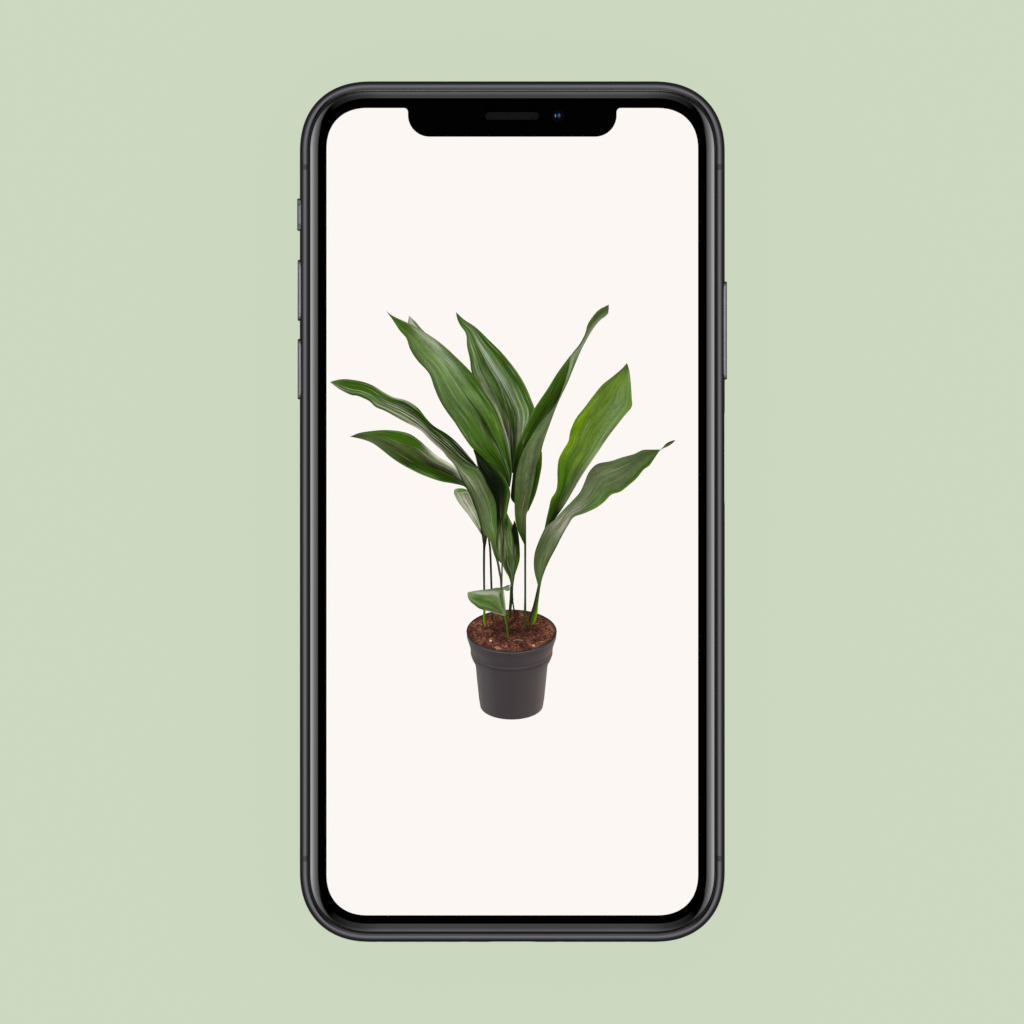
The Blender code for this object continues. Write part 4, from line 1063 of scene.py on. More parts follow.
     (660.4, 449.5, 657, 449.6, 650, 449.6, 642.5, 450, 634, 454, 621, 457.6, 611, 461, 597, 464, 589, 472,
      585, 481, 580, 492, 572, 501, 563, 510, 554, 520, 546, 526.5, 542.4, 533, 538, 543, 534.8, 552.5,
      533.7, 562, 534.4, 572, 536.2, 579, 538, 586),
     (660.4, 449.9, 658, 453, 654, 459, 649, 466, 643.6, 469.6, 637, 478, 628, 486, 620, 492, 611.6, 494.5,
      604.6, 501.6, 596, 508, 584, 513.5, 574, 517, 569, 524, 562, 536, 556, 548, 549.6, 560, 544.4, 572,
      541.6, 581, 540.8, 586),
     ((0.0, "olive green"), (0.12, "grey olive grey green leaf", 0.4, 0.7, 0.9),
      (0.3, "grey slate grey grey leaf bright", 0.3, 0.6, 0.85, 0.95),
      (0.44, "grey slate grey moss leaf bright", 0.25, 0.5, 0.8, 0.93),
      (0.56, "grey slate blush grey leaf", 0.25, 0.5, 0.8),
      (0.66, "grey blush slate blush grey", 0.3, 0.5, 0.8), (0.78, "olive grey slate olive", 0.4, 0.7),
      (0.9, "olive grey olive", 0.5), (1.0, "green olive")),
     (("blush", 0.32, 0.36, 0.1, 0.34, 0.014, 0.5), ("blush", 0.45, 0.5, 0.46, 0.7, 0.03, 0.6),
      ("dark", 0.56, 0.62, 0.36, 0.72, 0.018, 0.6), ("olive", 0.34, 0.4, 0.4, 0.74, 0.018, 0.6),
      ("olive", 0.72, 0.7, 0.1, 0.5, 0.02, 0.4), ("silver", 0.7, 0.66, 0.52, 0.68, 0.04, 0.5),
      ("olive", 0.2, 0.24, 0.12, 0.5, 0.02, 0.4), ("slate", 0.6, 0.66, 0.66, 0.86, 0.08, 0.5))),
    ("right_bud", 0.3,
     (675.6, 440, 671, 441, 666, 443.6, 663, 447, 660.4, 449.5),
     (675.6, 440, 672.4, 443.4, 668, 446.4, 664, 448.2, 660.6, 449.9),
     ((0.0, "olive bark"), (0.5, "bark olive slate", 0.6), (1.0, "slate blush")),
     ()),
    ("front_leaf", 0.5,
     (507, 513.6, 504.6, 519, 503, 527, 502.6, 540, 502.4, 552, 502.8, 565, 505.5, 571.6, 508.4, 576.4,
      510.2, 582, 510.6, 587),
     (507.4, 513.6, 510, 519.5, 512.8, 525, 515.6, 531, 517.6, 540, 518.4, 550, 518.2, 560, 516.8, 568,
      514.8, 576, 513.2, 587),
     ((0.0, "olive green"), (0.12, "dark deep leaf meadow ink", 0.4, 0.7, 0.85),
      (0.3, "dark olive moss leaf ink ink", 0.2, 0.4, 0.6, 0.8),
      (0.5, "deep olive green grey deep deep", 0.2, 0.4, 0.6, 0.75),
      (0.72, "olive dark olive grey deep", 0.3, 0.55, 0.75), (0.88, "olive dark grey dark", 0.4, 0.7),
      (1.0, "olive dark")),
     (("pale", 0.15, 0.4, 0.36, 0.6, 0.035, 0.7), ("pale", 0.35, 0.6, 0.38, 0.56, 0.03, 0.6),
      ("ink", 0.25, 0.5, 0.4, 0.8, 0.035, 0.7), ("pale", 0.25, 0.5, 0.6, 0.8, 0.03, 0.5),
      ("deep", 0.1, 0.4, 0.5, 0.9, 0.035, 0.6), ("lime", 0.86, 0.8, 0.05, 0.18, 0.1, 0.6),
      ("ink", 0.75, 0.75, 0.3, 0.72, 0.05, 0.6), ("ink", 0.02, 0.02, 0.3, 0.7, 0.08, 0.8))),
    ("front_lobe", 0.0,
     (514.4, 520.6, 512.6, 526, 511.7, 531.4, 513.6, 538.4, 515, 548, 515, 560, 514, 570, 512.6, 581),
     (515, 520.6, 516.6, 526.8, 518.2, 532.4, 519.1, 539.4, 519.8, 549, 519.8, 558.6, 518, 566, 515.6, 573,
      513.4, 581),
     ((0.0, "ink ink"), (0.35, "ink ink deep", 0.6), (0.5, "olive deep dark", 0.5),
      (0.7, "deep green dark olive", 0.4, 0.8), (1.0, "deep green")),
     (("bright", 0.6, 0.6, 0.55, 0.95, 0.12, 0.7),)),
    ("curled_leaf", 0.25,
     (467.4, 593.4, 468.1, 598, 470.8, 602, 474.5, 605, 478, 607.9, 482, 609.6, 486.5, 611, 491, 612,
      497.3, 613.9, 504, 615.8),
     (468, 592.2, 473.7, 591, 479, 590.3, 484, 589.7, 491, 588.8, 497.3, 587.6, 501.4, 588.6, 504, 593,
      504.9, 601, 505.4, 607.4, 505.8, 615),
     ((0.0, "soft pale"),
      (0.3, "olive moss green moss slate silver frost grey", 0.15, 0.35, 0.5, 0.62, 0.75, 0.85),
      (0.5, "olive moss green soft slate silver slate grey", 0.15, 0.35, 0.48, 0.62, 0.75, 0.88),
      (0.7, "pale olive olive moss soft slate silver slate", 0.08, 0.3, 0.45, 0.6, 0.75, 0.9),
      (0.88, "pale olive olive soft silver grey", 0.12, 0.35, 0.6, 0.8), (1.0, "pale soft grey", 0.4)),
     (("leaf", 0.3, 0.25, 0.2, 0.6, 0.08, 0.5), ("lime", 0.2, 0.2, 0.55, 0.95, 0.08, 0.3),
      ("silver", 0.9, 0.75, 0.1, 0.8, 0.05, 0.2), ("pale", 0.02, 0.02, 0.5, 1.0, 0.04, 0.8))),
    ("curled_fold", 0.2,
     (500.6, 588.2, 498.8, 593, 499.2, 599.6, 500.8, 606.6, 504.6, 615.4),
     (502.6, 587.6, 504, 592, 504.9, 598, 505.6, 606, 506, 615.4),
     ((0.0, "pale grey"), (0.3, "soft olive moss silver", 0.25, 0.6),
      (0.6, "soft olive moss pale", 0.3, 0.6), (1.0, "soft slate")),
     ()),
    ("curled_wing", 0.4,
     (499, 588.4, 503.7, 586.8, 506.4, 585.6, 509.6, 584.6),
     (500.2, 590, 503.8, 589.8, 507, 591, 509.8, 590),
     ((0.0, "leaf dark"), (0.5, "grey pale olive", 0.6), (1.0, "grey pale bark", 0.5)),
     ()),
)

# A pictured stem: its name, its left and its right tone, and its middle line as a run of x, y and width
PICTURED_STEMS = (
    ("bark_chip", "orange", "bark",
     (494.2, 647.2, 1.2, 496.4, 646.4, 4.0, 499.2, 647, 4.4, 501.8, 648.4, 1.6)),
    ("grit", "chalk", "chalk", (489.2, 641.1, 0.7, 490.5, 640.8, 1.4, 491.8, 640.7, 0.8)),
    ("second_grit", "orange", "chalk", (532.4, 645.8, 0.9, 533.6, 645.7, 1.8, 535, 646, 0.9)),
    ("straw", "straw", "straw", (513, 640.4, 0.5, 518, 639.8, 0.9, 523, 640.4, 0.5)),
    ("second_straw", "straw", "straw", (538.4, 642.4, 0.5, 542, 641.6, 0.9, 545.4, 641, 0.5)),
    ("first_stem", "ink", "bark", (484.2, 543, 2.4, 484, 566, 2.2, 484.2, 590, 2.0, 484.4, 614, 2.2)),
    ("first_base", "lime", "green", (484.3, 611, 2.2, 484.3, 617, 2.8, 484.8, 622, 2.7, 485.4, 626, 1.0)),
    ("second_stem", "ink", "bark",
     (488.6, 534, 1.8, 489.1, 541, 2.0, 490.3, 552, 2.1, 491.5, 588, 2.1, 492.5, 620, 2.2)),
    ("third_stem", "bark", "olive",
     (494.6, 553, 2.4, 497.4, 560.6, 2.3, 499.5, 571.6, 2.3, 501, 580, 2.2, 501.4, 592, 2.2)),
    ("fourth_stem", "bark", "olive",
     (502.6, 520, 1.0, 502.6, 548, 1.3, 502.1, 565, 1.5, 501.8, 580, 1.6, 500.8, 612, 2.1,
      500.6, 618, 1.0)),
    ("thin_stem", "bark", "ink", (512.4, 590, 1.2, 512.8, 601.6, 1.4, 513.8, 609, 1.6, 514, 617, 1.6)),
    ("tall_stem", "dark", "bark",
     (525.2, 541, 2.2, 525.2, 570, 2.0, 525.2, 600, 2.1, 524.9, 621, 2.9, 524.6, 629, 1.4)),
    ("right_stem", "deep", "olive",
     (539.6, 583, 2.8, 537.6, 594, 3.6, 535.6, 605, 4.8, 533.4, 614, 6.0, 531.8, 620, 6.0,
      530.8, 625, 2.8)),
    ("right_base", "green", "lime",
     (538, 602, 0.8, 536.8, 609, 2.2, 535.6, 615, 3.0, 534.3, 620, 2.6, 533.4, 624, 0.8)),
    ("front_stem", "dark", "deep",
     (511.8, 582, 2.4, 511.6, 588, 3.2, 511.2, 598, 3.2, 510.2, 609, 2.8, 509.6, 618, 2.2)),
    ("sheath", "leaf", "dark", (505.2, 614, 3.4, 506.6, 621, 2.8, 507.6, 630, 2.1, 508.4, 638, 1.4)),
)

# The pictured pot, in pixels of the photograph: its rim and its soil as a half width, a half height and the
# height of the middle, its rings as a half width and the height of their middle, and how flat they look. The
# soil's shaded hollow is given by how far it lies to the right of the phone's middle and below it.
POT_X = 511.6
RIM = (45.2, 22.0, 631.5)
SOIL = (43.6, 20.4, 631.0)
SOIL_HOLLOW = (0.7 * MM, 18.9 * MM)
COLLAR_RINGS = ((45.1, 631.4), (44.6, 636.4), (43.2, 640.4), (42.2, 643.4), (41.5, 646), (41.1, 648.8))
COLLAR_FLAT = 0.452
BODY_RINGS = (
    (40.9, 648), (41.0, 652.6), (39.4, 657), (37.0, 661), (36.0, 665), (34.4, 681), (32.7, 697.4),
    (31.4, 705.1),
)
BODY_FLAT = 0.462


def on_screen(x, y, layer):
    """A pixel of the photograph as a point on a layer of the picture."""
    return ((x - MIDDLE_PIXEL[0]) * PIXEL, (MIDDLE_PIXEL[1] - y) * PIXEL, LIT_LEVEL + layer * LAYER)


def grouped(numbers, size):
    """Points read from a run of numbers."""
    return [Vector(numbers[at : at + size]) for at in range(0, len(numbers), size)]


def smooth_line(points, count):
    """Evenly spaced points on a smooth line through given points."""
    ends = [2 * points[0] - points[1], *points, 2 * points[-1] - points[-2]]
    dense = []
    for before, start, end, after in zip(ends, ends[1:], ends[2:], ends[3:]):
        for step in range(8):
            t = step / 8
            spin = (end - before) / 2
            leave = (after - start) / 2
            dense.append(
                start * (2 * t**3 - 3 * t**2 + 1)
                + spin * (t**3 - 2 * t**2 + t)
                + end * (3 * t**2 - 2 * t**3)
                + leave * (t**3 - t**2)
            )
    dense.append(points[-1])
    lengths = [0.0]
    for here, after in zip(dense, dense[1:]):
        lengths.append(lengths[-1] + (after - here).length)
    even = []
    at = 0
    for step in range(count):
        goal = lengths[-1] * step / (count - 1)
        while at < len(dense) - 2 and lengths[at + 1] < goal:
            at += 1
        span = max(lengths[at + 1] - lengths[at], 1e-9)
        even.append(dense[at].lerp(dense[at + 1], min(1.0, (goal - lengths[at]) / span)))
    return even


def add_sheet(name, grid, finish, layer):
    """A flat piece of the picture over a grid of pixel places, with its place across and along as its UV."""
    mesh = bpy.data.meshes.new(name)
    rows = len(grid)
    columns = len(grid[0])
    points = [on_screen(x, y, layer) for row in grid for x, y in row]
    faces = []
    for row in range(rows - 1):
        for column in range(columns - 1):
            corner = row * columns + column
            faces.append((corner, corner + 1, corner + columns + 1, corner + columns))
    mesh.from_pydata(points, [], faces)
    places = mesh.uv_layers.new(name="place")
    for loop in mesh.loops:
        row, column = divmod(loop.vertex_index, columns)
        places.data[loop.index].uv = (column / (columns - 1), row / (rows - 1))
    mesh.materials.append(finish.material)
    made = linked(name, mesh)
    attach(made, "case")


def lit_finish(name, brightness):
    """A finish that only gives off light, as a part of a lit screen does."""
    return Finish(name, base_color=(0.0, 0.0, 0.0), specular_ior_level=0.0, emission_strength=brightness)


def place_on_leaf(finish):
    """The place across and along a pictured piece."""
    return finish.axes(finish.node("ShaderNodeUVMap", {"uv_map": "place"}))[:2]


def leaf_finish(name, size, veining, tones, streaks, seed, brightness):
    """A pictured leaf's finish: its tones, its streaks and the veins along it."""
    finish = lit_finish(name, brightness)
    across, along = place_on_leaf(finish)
    wide = across * size[0]
    long = along * size[1]
    sway = finish.noise(finish.joined(across * 3.0, along * 4.0, seed), 1.0)
    across = across + 0.06 * (sway - 0.5)
    colour = None
    last = 0.0
    for start, names, *places in tones:
        stops = zip((0.0, *places, 1.0), names.split())
        shade = finish.ramp(across, [(place, TONES[tone]) for place, tone in stops])
        if colour is None:
            colour = shade
        else:
            colour = finish.mix(finish.step(along, last, start), colour, shade)
        last = start
    for tone, first, second, start, end, width, strength in streaks:
        share = (along - start) / (end - start)
        middle = first + (second - first) * share
        near = finish.step(abs(across - middle), width, 0.0)
        ends = finish.step(share, 0.0, 0.2) * finish.step(share, 1.0, 0.75)
        colour = finish.mix(near * ends * strength, colour, TONES[tone])
    patches = finish.noise(finish.joined(wide * 0.2, long * 0.03, seed), 1.0, 3.0, 0.6)
    veins = finish.noise(finish.joined(wide * 0.6, long * 0.018, seed + 3.0), 1.0, 1.5, 0.8)
    grain = finish.noise(finish.joined(wide * 0.9, long * 0.3, seed + 7.0), 1.0, 2.0)
    colour = finish.mix(finish.step(veins, 0.54, 0.72) * (0.5 * veining), colour, TONES["silver"])
    ribs = 0.8 + 1.2 * veining
    light = 1.0 + 1.3 * (patches - 0.5) + ribs * (veins - 0.5) + 0.5 * (grain - 0.5)
    return finish.glow(colour, light)


def stem_finish(name, left, right, brightness):
    """A pictured stem's finish, shaded from left to right."""
    finish = lit_finish(name, brightness)
    across, along = place_on_leaf(finish)
    grain = finish.noise(finish.joined(across * 5.0, along * 6.0, 0.0), 1.0, 2.0)
    colour = finish.ramp(across + 0.2 * (grain - 0.5), [(0.15, TONES[left]), (0.8, TONES[right])])
    return finish.glow(colour, 0.8 + 0.4 * grain)


def arc_grid(rings, flat, columns=40):
    """A grid over the front half of a pot's rings."""
    grid = []
    for half_width, middle in rings:
        a, b = half_width, half_width * flat
        turns = [math.pi * (column / columns - 0.5) for column in range(columns + 1)]
        grid.append([(POT_X + a * math.sin(angle), middle + b * math.cos(angle)) for angle in turns])
    return grid


def disc_grid(half_width, half_height, middle, columns=48, rings=6):
    """A grid over an ellipse."""
    grid = []
    for ring in range(rings + 1):
        share = ring / rings
        a, b = half_width * share, half_height * share
        turns = [math.tau * column / columns for column in range(columns + 1)]
        grid.append([(POT_X + a * math.cos(angle), middle + b * math.sin(angle)) for angle in turns])
    return grid


def make_wallpaper(settings):
    """The lit ground of the screen, a little larger than its opening in the border."""
    lit = lit_finish("lit_ground", settings.brightness)
    lattice = lit.noise(lit.point((1.0, 1.0, 0.0)), 9000.0, 1.0)
    lit.glow(settings.ground_colour, 0.996 + 0.008 * lattice)
    shape = bmesh.new()
    add_plate(shape, [screen_outline(SCREEN_EDGE - 0.25 * MM)], LIT_LEVEL, LIT_LEVEL, placed("up"))
    add_piece("lit_ground", shape, [lit], outward=False)


def pot_finish(name, stops, lines, brightness):
    """A pictured pot wall: its shading from left to right, and lines across it at places along it."""
    wall = lit_finish(name, brightness)
    across, along = place_on_leaf(wall)
    colour = wall.ramp(across, stops)
    for place, width, tone, strength in lines:
        colour = wall.mix(wall.step(abs(along - place), width, width * 0.3) * strength, colour, tone)
    marks = wall.noise(wall.joined(across * 14.0, along * 4.0, 2.0), 1.0, 3.0, 0.6)
    return wall.glow(colour, 0.9 + 0.2 * marks)


def make_pictured_pot(settings):
    """The pictured nursery pot with its soil."""
    wall_tones = [
        (0.0, srgb(116, 111, 106)), (0.08, srgb(104, 100, 97)), (0.2, srgb(84, 80, 80)),
        (0.36, srgb(68, 62, 64)), (0.5, srgb(66, 60, 62)), (0.62, srgb(71, 65, 66)),
        (0.75, srgb(81, 75, 74)), (0.83, srgb(100, 92, 88)), (0.93, srgb(120, 110, 104)),
        (1.0, srgb(108, 100, 96)),
    ]
    light = srgb(80, 76, 77)
    shadow = srgb(48, 43, 45)
    body_lines = ((0.04, 0.05, light, 0.5), (0.125, 0.06, shadow, 0.4))
    collar_lines = ((0.2, 0.2, shadow, 0.15), (0.99, 0.08, shadow, 0.5))
    body = pot_finish("pot_wall", wall_tones, body_lines, settings.brightness)
    collar = pot_finish("pot_collar_wall", wall_tones, collar_lines, settings.brightness)
    rim = lit_finish("pot_rim", settings.brightness)
    across, along = place_on_leaf(rim)
    rim_grain = rim.noise(rim.joined(across * 20.0, along * 2.0, 1.0), 1.0, 2.0)
    lip = rim.step(abs(across - 0.25), 0.18, 0.05) * rim.step(along, 0.955, 0.975)
    tone = rim.mix(lip, srgb(56, 49, 52), srgb(98, 95, 97))
    rim.glow(tone, 0.8 + 0.4 * rim_grain)
    add_sheet("pot_body", arc_grid(BODY_RINGS, BODY_FLAT), body, 1)
    add_sheet("pot_collar", arc_grid(COLLAR_RINGS, COLLAR_FLAT), collar, 2)
    add_sheet("pot_rim", disc_grid(*RIM), rim, 3)
    soil = lit_finish("soil", settings.brightness)
    across, along = place_on_leaf(soil)
    place = soil.point((1.0, 1.3, 1.0))
    crumbs = soil.noise(place, 1300.0, 6.0, 0.8, 1.6)
    colour = soil.ramp(crumbs, [
        (0.36, srgb(24, 8, 4)), (0.44, srgb(58, 28, 20)), (0.5, srgb(92, 52, 42)),
        (0.56, srgb(104, 64, 50)), (0.63, srgb(148, 108, 84)), (0.72, srgb(180, 148, 118)),
    ])
    turn = soil.mottle(420.0, 1.0) * 14.0
    spin = {"Vector": soil.point(), "Angle": turn}
    spun = soil.node("ShaderNodeVectorRotate", {"rotation_type": "Z_AXIS"}, spin)
    fibres = soil.noise(soil.stretched(spun, (0.25, 2.2, 1.0)), 2600.0, 2.0)
    colour = soil.mix(soil.step(fibres, 0.6, 0.68) * 0.6, colour, srgb(166, 128, 100))
    colour = soil.mix(soil.step(fibres, 0.4, 0.32) * 0.7, colour, srgb(34, 12, 8))
    colour = soil.mix(soil.step(along, 0.94, 1.0) * 0.5, colour, srgb(45, 35, 38))
    clumps = soil.noise(soil.point((1.0, 1.4, 1.0)), 560.0, 2.0, 0.6)
    x, y, z = soil.place()
    right, below = SOIL_HOLLOW
    hollow = soil.step(abs(x - right), 6.6 * MM, 1.6 * MM) * soil.step(abs(y + below), 3.0 * MM, 0.7 * MM)
    shade = (0.5 + 0.42 * soil.step(along, 0.15, 0.85)) * (1.0 - 0.34 * hollow)
    soil.glow(colour, shade * (0.5 + 0.5 * fibres + 0.9 * soil.step(clumps, 0.34, 0.66)))
    add_sheet("soil", disc_grid(*SOIL), soil, 4)


def make_pictured_plant(settings):
    """The pictured stems and leaves, each over the one behind it."""
    layer = 5
    for name, left, right, line in PICTURED_STEMS:
        middle = smooth_line(grouped(line, 3), 24)
        grid = []
        for before, here, after in zip([middle[0], *middle], middle, [*middle[1:], middle[-1]]):
            run = (after - before).to_2d().normalized()
            side = Vector((-run.y, run.x)) * here.z / 2
            grid.append([(here.x + side.x * turn, here.y + side.y * turn) for turn in (1, 0.5, 0, -0.5, -1)])
        add_sheet(name, grid, stem_finish(name, left, right, settings.brightness), layer)
        layer += 1
    for name, veining, left, right, tones, streaks in PICTURED_LEAVES:
        edges = list(zip(*(smooth_line(grouped(edge, 2), 60) for edge in (left, right))))
        grid = [[tuple(first.lerp(second, step / 8)) for step in range(9)] for first, second in edges]
        width = sum((second - first).length for first, second in edges) / len(edges)
        length = sum((after[0] - before[0]).length for before, after in zip(edges, edges[1:]))
        finish = leaf_finish(name, (width, length), veining, tones, streaks, layer * 1.7, settings.brightness)
        add_sheet(name, grid, finish, layer)
        layer += 1


# --------------------------------------------------------------------------------------------------
# Earpiece and sensors


def make_earpiece():
    """The woven mesh in the earpiece slot."""
    steel = steel_finish("mesh_wire", (0.08, 0.08, 0.082), 0.35)
    dark = plastic_finish("mesh_backing", (0.01, 0.01, 0.01), 0.6)
    length, width = MESH_SIZE
    high = PANEL_HIGH - 2 * WIRE_RADIUS
    shape = bmesh.new()
    backing = moved(pill(length, width), 0, SENSOR_Y)
    add_plate(shape, [backing], PANEL_HIGH - 0.3 * MM, high - 2 * WIRE_RADIUS, placed("up"), 1)
    for lengthwise in (True, False):
        wires = int((width if lengthwise else length) / MESH_PITCH)
        for wire in range(wires):
            across = (wire - (wires - 1) / 2) * MESH_PITCH
            past = abs(across) if lengthwise else max(0.0, abs(across) - (length - width) / 2)
            reach = math.sqrt(max(0.0, (width / 2) ** 2 - past**2)) - WIRE_RADIUS
            if lengthwise:
                reach += (length - width) / 2
            elif reach < MESH_PITCH:
                continue
            count = max(2, int(2 * reach / MESH_PITCH))
            rings = []
            for step in range(count + 1):
                along = -reach + 2 * reach * step / count
                over = (step + wire) % 2 == lengthwise
                level = high + (0.6 if over else -0.6) * WIRE_RADIUS
                rings.append([])
                for p, q in ((1, 0), (0, 1), (-1, 0), (0, -1)):
                    a, b = across + WIRE_RADIUS * p, along
                    x, y = (b, a) if lengthwise else (a, b)
                    rings[-1].append((x, SENSOR_Y + y, level + WIRE_RADIUS * q))
            add_rings(shape, rings)
    add_piece("woven_earpiece", shape, [steel, dark], "case", ["earpiece_mesh"])


def make_front_camera():
    """The front camera's lens under its window: a black barrel and a coated lens with painted glints."""
    black = Finish("camera_barrel", specular_ior_level=0.03)
    grain = black.mottle(5000.0, 2.0)
    black.paint((0.0015, 0.0015, 0.0015), 0.8 + 0.4 * grain, 0.55 + 0.1 * grain)
    coated = Finish("coated_lens", roughness=0.08, IOR=1.5, specular_ior_level=0.05)
    x, y, z = coated.place()
    colour = (0.001, 0.002, 0.006)
    # Painted highlights: two blue glints, each with a painted blue halo round it, are painted into the lens's
    # colour.
    for a, b, tone in PAINTED_LENS_GLINTS:
        away = ((x - a) * (x - a) + 0.4 * (y - b) * (y - b)) ** 0.5
        painted_glint_halo = coated.step(away, 0.42 * MM, 0.1 * MM)
        colour = coated.mix(painted_glint_halo * 0.5, colour, (0.001, 0.008, 0.09))
        colour = coated.mix(coated.step(away, 0.26 * MM, 0.1 * MM), colour, tone)
    coated.give("Base Color", colour)
    at = placed("up", (FRONT_CAMERA_X, SENSOR_Y, 0))
    shape = bmesh.new()
    barrel = [circle(radius, 40) for radius in CAMERA_BARREL]
    add_plate(shape, barrel, PANEL_HIGH, CAMERA_TOP, at)
    dome = []
    for step in range(9):
        angle = math.radians(8 + 52 * step / 8)
        dome.append((circle(0.95 * MM * math.sin(angle), 40), 6.6 * MM + 1.1 * MM * math.cos(angle)))
    add_stack(shape, dome, at, 1)
    add_piece("front_lens", shape, [black, coated])
    dress(black, "front_camera")


# --------------------------------------------------------------------------------------------------
# Buttons, tray and lower end


def add_cap(shape, length, width, proud, flange, place):
    """Adds a button's cap with a rounded edge, and the flange behind it."""
    seat = -POCKET_AT - RUNNING
    levels = rounded_levels(lambda inset: pill(length - 2 * inset, width - 2 * inset), seat, proud, CAP_EDGE)
    add_stack(shape, levels, place)
    add_stack(shape, [(flange, seat - FLANGE_THICK), (flange, seat)], place)


def rimmed_steel(name, settings, place, cap, middle, tone):
    """Polished steel whose cap walls along the long sides carry a lighter satin tone, partly a real satin
    finish and partly a painted highlight, which fades out towards the ends; the ends themselves are painted
    darker as painted shade.
    """
    finish = Finish(name, metallic=1.0)
    smear = finish.mottle(900.0, 4.0, 0.6)
    x, y, z = finish.place()
    width, proud = cap
    # Painted highlight: the lighter tone on the cap's upper and lower walls stands in for light on them;
    # their extra roughness is a real satin finish.
    wall = finish.step(abs(z - middle), width / 2 - 0.2 * MM, width / 2 - 0.07 * MM)
    below = finish.step(abs(x), HALF_WIDTH + proud - 0.14 * MM, HALF_WIDTH + proud - 0.32 * MM)
    reach = place[1] / 2
    ends = finish.step(abs(y - place[0]), reach - 0.3 * MM, reach - 1.6 * MM)
    satin_highlight = wall * below * ends
    # Painted shade: the cap is painted darker towards its ends.
    dark = 1.0 - 0.6 * finish.step(abs(y - place[0]), reach - 0.3 * MM, reach)
    colour = finish.mix(satin_highlight, settings.steel_colour, tone)
    roughness = settings.steel_roughness - 0.02 + 0.04 * smear + 0.36 * satin_highlight
    finish.paint(colour, dark * (0.97 + 0.06 * smear), roughness)
    return finish.give("Normal", finish.bump(smear, 0.002 * MM, 0.15))


def make_press_buttons(settings):
    """The volume buttons and the side button."""
    buttons = (
        ("volume_up_button", "left", VOLUME_UP, "volume_up"),
        ("volume_down_button", "left", VOLUME_DOWN, "volume_down"),
        ("side_button", "right", SIDE_BUTTON, "side_key"),
    )
    for node, facing, (y, length), body in buttons:
        side = 1 if facing == "right" else -1
        cap = (BUTTON_WIDTH, BUTTON_PROUD)
        # The last colour is the lighter tone of the cap walls' painted highlight.
        steel = rimmed_steel(f"{node}_steel", settings, (y, length), cap, MIDDLE, (0.46, 0.45, 0.53))
        at = placed(facing, (side * HALF_WIDTH, y, MIDDLE))
        shape = bmesh.new()
        flange = pill(length + 2 * FLANGE_REACH, POCKET_WIDTH - 2 * RUNNING)
        add_cap(shape, length, BUTTON_WIDTH, BUTTON_PROUD, flange, at)
        behind = -POCKET_AT - RUNNING - FLANGE_THICK
        for offset in (-4 * MM, 4 * MM) if node == "side_button" else (0.0,):
            nub = moved(circle(0.6 * MM, 16), offset, 0)
            add_stack(shape, [(nub, behind - 0.4 * MM), (nub, behind)], at)
        add_piece(f"polished_{node}", shape, [steel], body, [node])


def make_ring_switch(settings):
    """The ring switch, a small slider in its slot."""
    y, length = RING_SWITCH
    middle = MIDDLE + SWITCH_TRAVEL / 2
    cap = (SWITCH_WIDTH, SWITCH_PROUD)
    # The last colour is the lighter tone of the cap walls' painted highlight.
    steel = rimmed_steel("switch_steel", settings, RING_SWITCH, cap, middle, (0.36, 0.355, 0.41))
    at = placed("left", (-HALF_WIDTH, y, middle))
    shape = bmesh.new()
    flange = oblong(length + 2 * FLANGE_REACH, POCKET_WIDTH - 2 * RUNNING - SWITCH_TRAVEL)
    add_cap(shape, length, SWITCH_WIDTH, SWITCH_PROUD, flange, at)
    add_piece("polished_ring_switch", shape, [steel], "ring_slider", ["ring_switch"])


def make_tray(settings):
    """The card tray: its door in the band and the tray that carries the card."""
    steel = steel_finish("tray_steel", settings.steel_colour, settings.steel_roughness)
    outer = -TRAY_SUNK
    pin_offset, pin_radius = PIN_HOLE
    at = placed("right", (HALF_WIDTH, TRAY_Y, MIDDLE))
    shape = bmesh.new()
    hole = moved(circle(pin_radius, 24), -pin_offset, 0)
    edge = 0.12 * MM
    low = outer - TRAY_DOOR_THICK
    add_plate(shape, [pill(*TRAY_DOOR, 16), hole], low, outer - edge, at)
    cap = pill(TRAY_DOOR[0] - 2 * edge, TRAY_DOOR[1] - 2 * edge, 16)
    wide_hole = moved(circle(pin_radius + edge / 2, 24), -pin_offset, 0)
    add_plate(shape, [cap, wide_hole], outer, outer, at)
    add_stack(shape, [(pill(*TRAY_DOOR, 16), outer - edge), (cap, outer)], at, caps=False)
    add_stack(shape, [(hole, outer - edge), (wide_hole, outer)], at, caps=False)
    inner = -TRAY_REACH
    flat = placed("up", (HALF_WIDTH, TRAY_Y, MIDDLE))
    span = low - inner
    tongue = moved(oblong(span, TRAY_WIDTH), inner + span / 2, 0)
    window = moved(oblong(*CARD_SIZE), inner + CARD_RIM + CARD_SIZE[0] / 2, 0)
    add_plate(shape, [tongue, window], -TRAY_THICK / 2, TRAY_THICK / 2, flat)
    add_piece("polished_card_tray", shape, [steel], "tray", ["card_tray"], outward=False)


